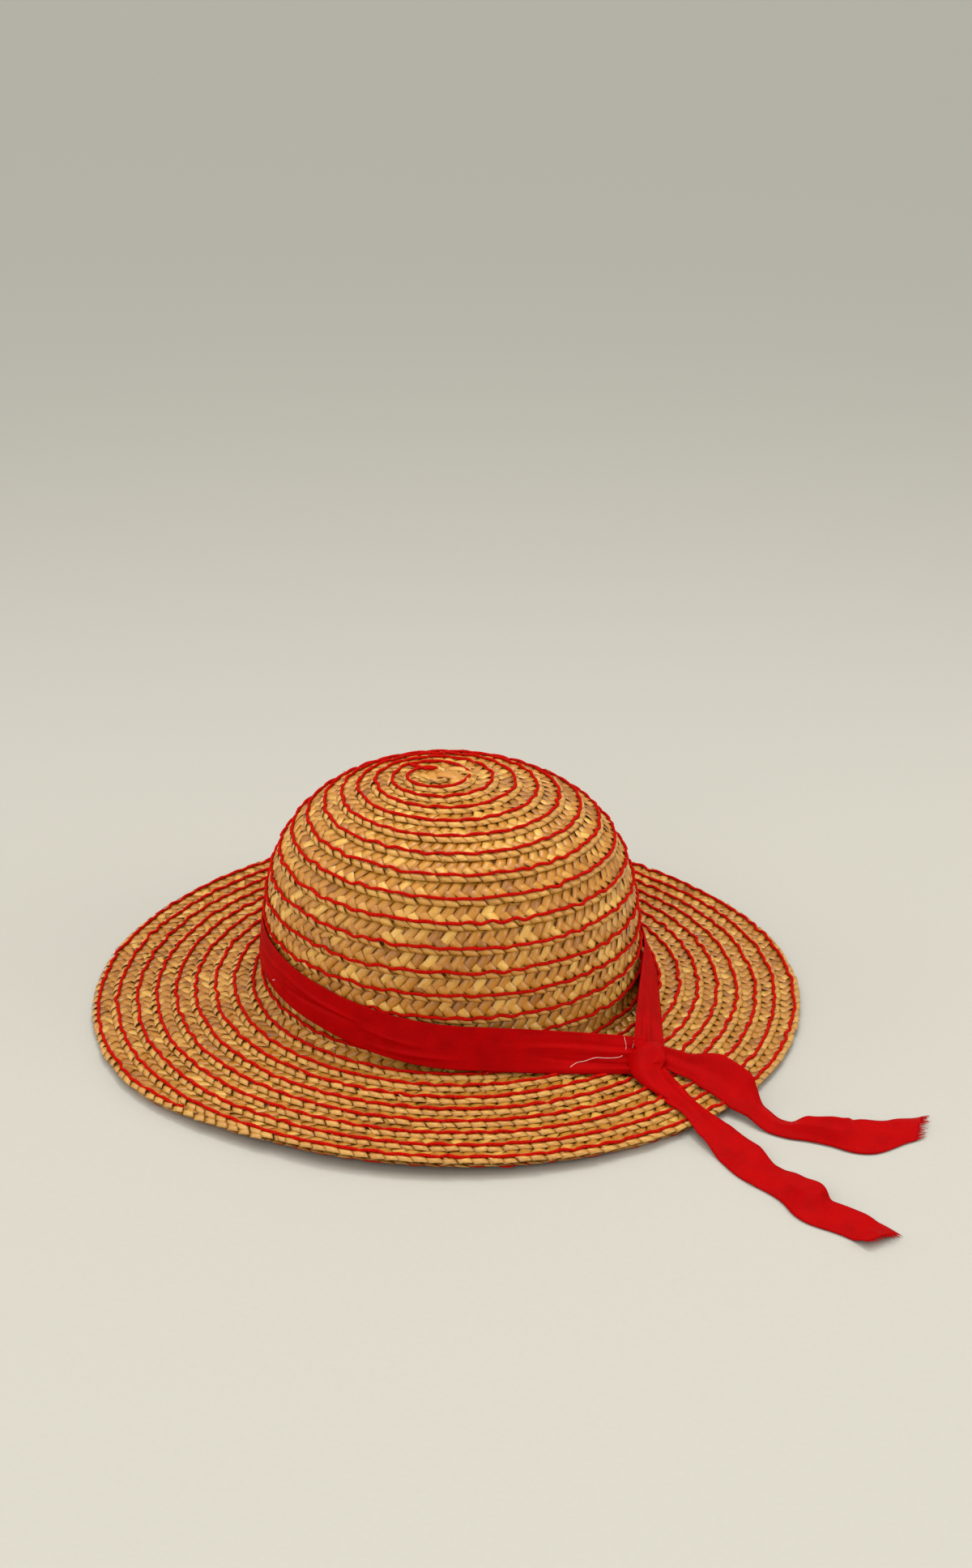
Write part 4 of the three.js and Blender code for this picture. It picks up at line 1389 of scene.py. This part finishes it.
class HAT_OT_details(bpy.types.Operator):
    """Loose thread, frayed ribbon ends, the braid's folded start and broken straws"""

    bl_idname = "hat.details"
    bl_label = "Small details"

    def execute(self, context):
        body, look = hat_body(), values(context.scene.plait_look)
        ribbon, thread = values(context.scene.ribbon_look), values(context.scene.thread_look)
        trees = trees_of("band_ribbon", "ribbon_knot", "brim_braid")
        random = np.random.RandomState(7)

        pale = yarn_material("thread_pale", PALE_THREAD)
        line = [on_top_of(trees, x, y, LOOSE["above"]) for x, y in LOOSE_THREAD]
        piece = fibres("loose_thread", [smooth_line(line)], LOOSE["width"])
        finish_piece(piece, "ribbon", pale)
        lint = []
        for x, y in LINT:
            x, y, z = on_top_of(trees, x, y, SPECK["above"])
            lint.append([(x - 0.5, y, z), (x, y + 0.3, z + 0.5), (x + 0.6, y - 0.2, z)])
        finish_piece(fibres("lint", lint, SPECK["width"]), "ribbon", pale)

        frays = frayed_lines(body, ribbon, random)
        red = yarn_material("frayed_red", ribbon.red)
        finish_piece(fibres("frayed_ends", frays, FRAYS["width"]), "ribbon", red)

        slivers = sliver_lines(body, random)
        straw = straw_material("straw_loose", look, LOOSE_TINT)
        piece = fibres("broken_straws", slivers, SLIVERS["width"])
        count = len(piece.data.vertices)
        least, spread = SLIVER_TONES
        write_attribute(piece.data, "tone", random.rand(count) * spread + least)
        write_attribute(piece.data, "kind_share", np.full(count, 1 / CORE_KIND))
        finish_piece(piece, "straw_brim", straw)

        piece = joined("braid_start", [straw_leaf(body, spec) for spec in STRAW_START])
        leaf = len(piece.data.vertices) // len(STRAW_START)
        tones = random.uniform(*START_TONES, len(STRAW_START))
        write_attribute(piece.data, "tone", np.repeat(tones, leaf))
        finish_piece(piece, "straw_crown", straw)

        start = [body_top(body, x, y, START_ABOVE) for x, y in START_THREAD]
        yarn = bpy.data.materials["thread_red"]
        piece = thread_tube("start_thread", smooth_line(start), thread.width * START_WIDTH)
        finish_piece(piece, "straw_crown", yarn)
        return {"FINISHED"}


def smooth_line(points):
    """More points between the given ones, on a smooth line"""
    table = [dict(zip("xyz", point)) for point in points]
    shares = np.linspace(0, 1, (len(points) - 1) * LINE_STEPS + 1)
    return [tuple(along_table(table, key, share) for key in "xyz") for share in shares]


def body_top(body, x, y, above):
    """A point over the crown's top, above the bare outline"""
    radius = math.hypot(x - CROWN_OFFSET, y)
    height = float(np.interp(radius, body.r[:TOP_STEPS], body.z[:TOP_STEPS]))
    return (x, y, height + above)


def straw_leaf(body, spec):
    """One flat folded straw of the braid's start"""
    bm = bmesh.new()
    cells = LEAF["cells"]
    bmesh.ops.create_grid(bm, x_segments=cells[0], y_segments=cells[1], size=0.5)
    bmesh.ops.solidify(bm, geom=bm.faces[:], thickness=STRAW)
    uv = bm.loops.layers.uv.verify()
    start, end = Vector(spec["from"]), Vector(spec["to"])
    along = end - start
    across = Vector((-along.y, along.x)).normalized() * spec["width"]
    for face in bm.faces:
        for loop in face.loops:
            flat = loop.vert.co
            loop[uv].uv = ((flat.x + 0.5) * along.length / UV_UNIT, (flat.y + 0.5) * LEAF["uv"])
    for vert in bm.verts:
        u, v = vert.co.x + 0.5, vert.co.y
        spot = start + along * u + across * v
        low, peak, high = spec["lift"]
        lift = low * (1 - u) + high * u + (peak - (low + high) / 2) * 4 * u * (1 - u)
        lift += vert.co.z - LEAF["edges"] * (2 * v) ** 4 + LEAF["above"]
        vert.co = Vector(body_top(body, spot.x, spot.y, lift)) * MM + HAT_MIDDLE
    bmesh.ops.recalc_face_normals(bm, faces=bm.faces)
    return new_mesh_object("straw_leaf", bm)


# Stage

FLOOR_HALF = 40
FLOOR_ROUGHNESS = 0.55
AIR = {"colour": (1.0, 0.97, 0.92), "strength": 0.45}
# angle and turn: degrees
CEILING = {"angle": 62, "turn": (-7, -5), "colour": (1, 0.97, 0.93)}
LAMP_COLOUR = (1, 0.96, 0.9)
# Lamps: name, value of the stage that gives their power, share of it, place, height of what they
# are aimed at, and size, all in metres
LAMPS = (
    ("key", "key", 1, (0.12, 0.3, 1.15), 0.03, 0.3),
    ("fill", "fill", 1, (-0.45, -1.2, 0.75), 0.05, 0.9),
    ("left", "sides", 0.7, (-1.05, -0.1, 0.5), 0.06, 0.7),
    ("right", "sides", 1, (1.05, -0.25, 0.5), 0.06, 0.7),
)
# The photograph's camera. place: millimetres from the hat's middle. tilt, roll: degrees.
CAMERA = {"place": (17.3, -963.0, 514.5), "tilt": 67.26, "roll": 0.5, "lens": 50.23}


def put_in_scene(name, data, place=(0, 0, 0), turn=(0, 0, 0)):
    """A lamp or a camera at its place"""
    holder = bpy.data.objects.new(name, data)
    holder.location = place
    holder.rotation_euler = turn
    bpy.context.scene.collection.objects.link(holder)
    return holder


class HAT_OT_stage(bpy.types.Operator):
    """Floor, lamps and camera"""

    bl_idname = "hat.stage"
    bl_label = "Floor, lamps and camera"

    def execute(self, context):
        look = values(context.scene.stage_look)
        bm = bmesh.new()
        bmesh.ops.create_grid(bm, x_segments=1, y_segments=1, size=FLOOR_HALF)
        floor = new_mesh_object("floor", bm)
        floor.data.materials.append(plain_material("table", look.floor, FLOOR_ROUGHNESS))
        scene = context.scene
        scene.world = bpy.data.worlds.new("room")
        scene.world.use_nodes = True
        air = scene.world.node_tree.nodes["Background"]
        air.inputs["Color"].default_value = (*AIR["colour"], 1)
        air.inputs["Strength"].default_value = AIR["strength"]
        sky = bpy.data.lights.new("ceiling", "SUN")
        sky.energy, sky.angle = look.ceiling, math.radians(CEILING["angle"])
        sky.color = CEILING["colour"]
        tilt, roll = (math.radians(turn) for turn in CEILING["turn"])
        put_in_scene("ceiling", sky, turn=(tilt, roll, 0))
        for name, power, share, place, aim, size in LAMPS:
            lamp = bpy.data.lights.new(name, "AREA")
            lamp.energy, lamp.size, lamp.color = getattr(look, power) * share, size, LAMP_COLOUR
            ray = Vector((0, 0, aim)) - Vector(place)
            put_in_scene(name, lamp, place, ray.to_track_quat("-Z", "Y").to_euler())
        lens = bpy.data.cameras.new("photo_view")
        lens.lens = CAMERA["lens"]
        lens.sensor_fit = "AUTO"
        tilt = Matrix.Rotation(math.radians(CAMERA["tilt"]), 4, "X")
        roll = Matrix.Rotation(math.radians(CAMERA["roll"]), 4, "Z")
        place = HAT_MIDDLE + Vector(CAMERA["place"]) * MM
        scene.camera = put_in_scene("photo_view", lens, place, (tilt @ roll).to_euler())
        scene.view_settings.view_transform = "Standard"
        return {"FINISHED"}


OPERATORS = (
    HAT_OT_crown_braid,
    HAT_OT_brim_braid,
    HAT_OT_threads,
    HAT_OT_band,
    HAT_OT_tails,
    HAT_OT_knot,
    HAT_OT_details,
    HAT_OT_stage,
)


class HAT_PT_panel(bpy.types.Panel):
    """Lists the hat's pieces and sizes"""

    bl_idname = "HAT_PT_panel"
    bl_label = "Straw sun hat"
    bl_space_type = "VIEW_3D"
    bl_region_type = "UI"
    bl_category = "Sun Hat"

    def draw(self, context):
        for holder, group in GROUPS:
            box = self.layout.box()
            box.label(text=group.__doc__)
            for name in group.__annotations__:
                box.prop(getattr(context.scene, holder), name)
        for operator in OPERATORS:
            self.layout.operator(operator.bl_idname)


GROUPS = (
    ("straw_hat_sizes", StrawHatSizes),
    ("plait_look", PlaitLook),
    ("thread_look", ThreadLook),
    ("ribbon_look", RibbonLook),
    ("stage_look", StageLook),
)


def register():
    for holder, group in GROUPS:
        bpy.utils.register_class(group)
        setattr(bpy.types.Scene, holder, bpy.props.PointerProperty(type=group))
    for operator in OPERATORS:
        bpy.utils.register_class(operator)
    bpy.utils.register_class(HAT_PT_panel)


def unregister():
    bpy.utils.unregister_class(HAT_PT_panel)
    for operator in reversed(OPERATORS):
        bpy.utils.unregister_class(operator)
    for holder, group in reversed(GROUPS):
        delattr(bpy.types.Scene, holder)
        bpy.utils.unregister_class(group)


def main():
    register()
    for operator in OPERATORS:
        name = operator.bl_idname.split(".")[1]
        getattr(bpy.ops.hat, name)()


if __name__ == "__main__":
    main()
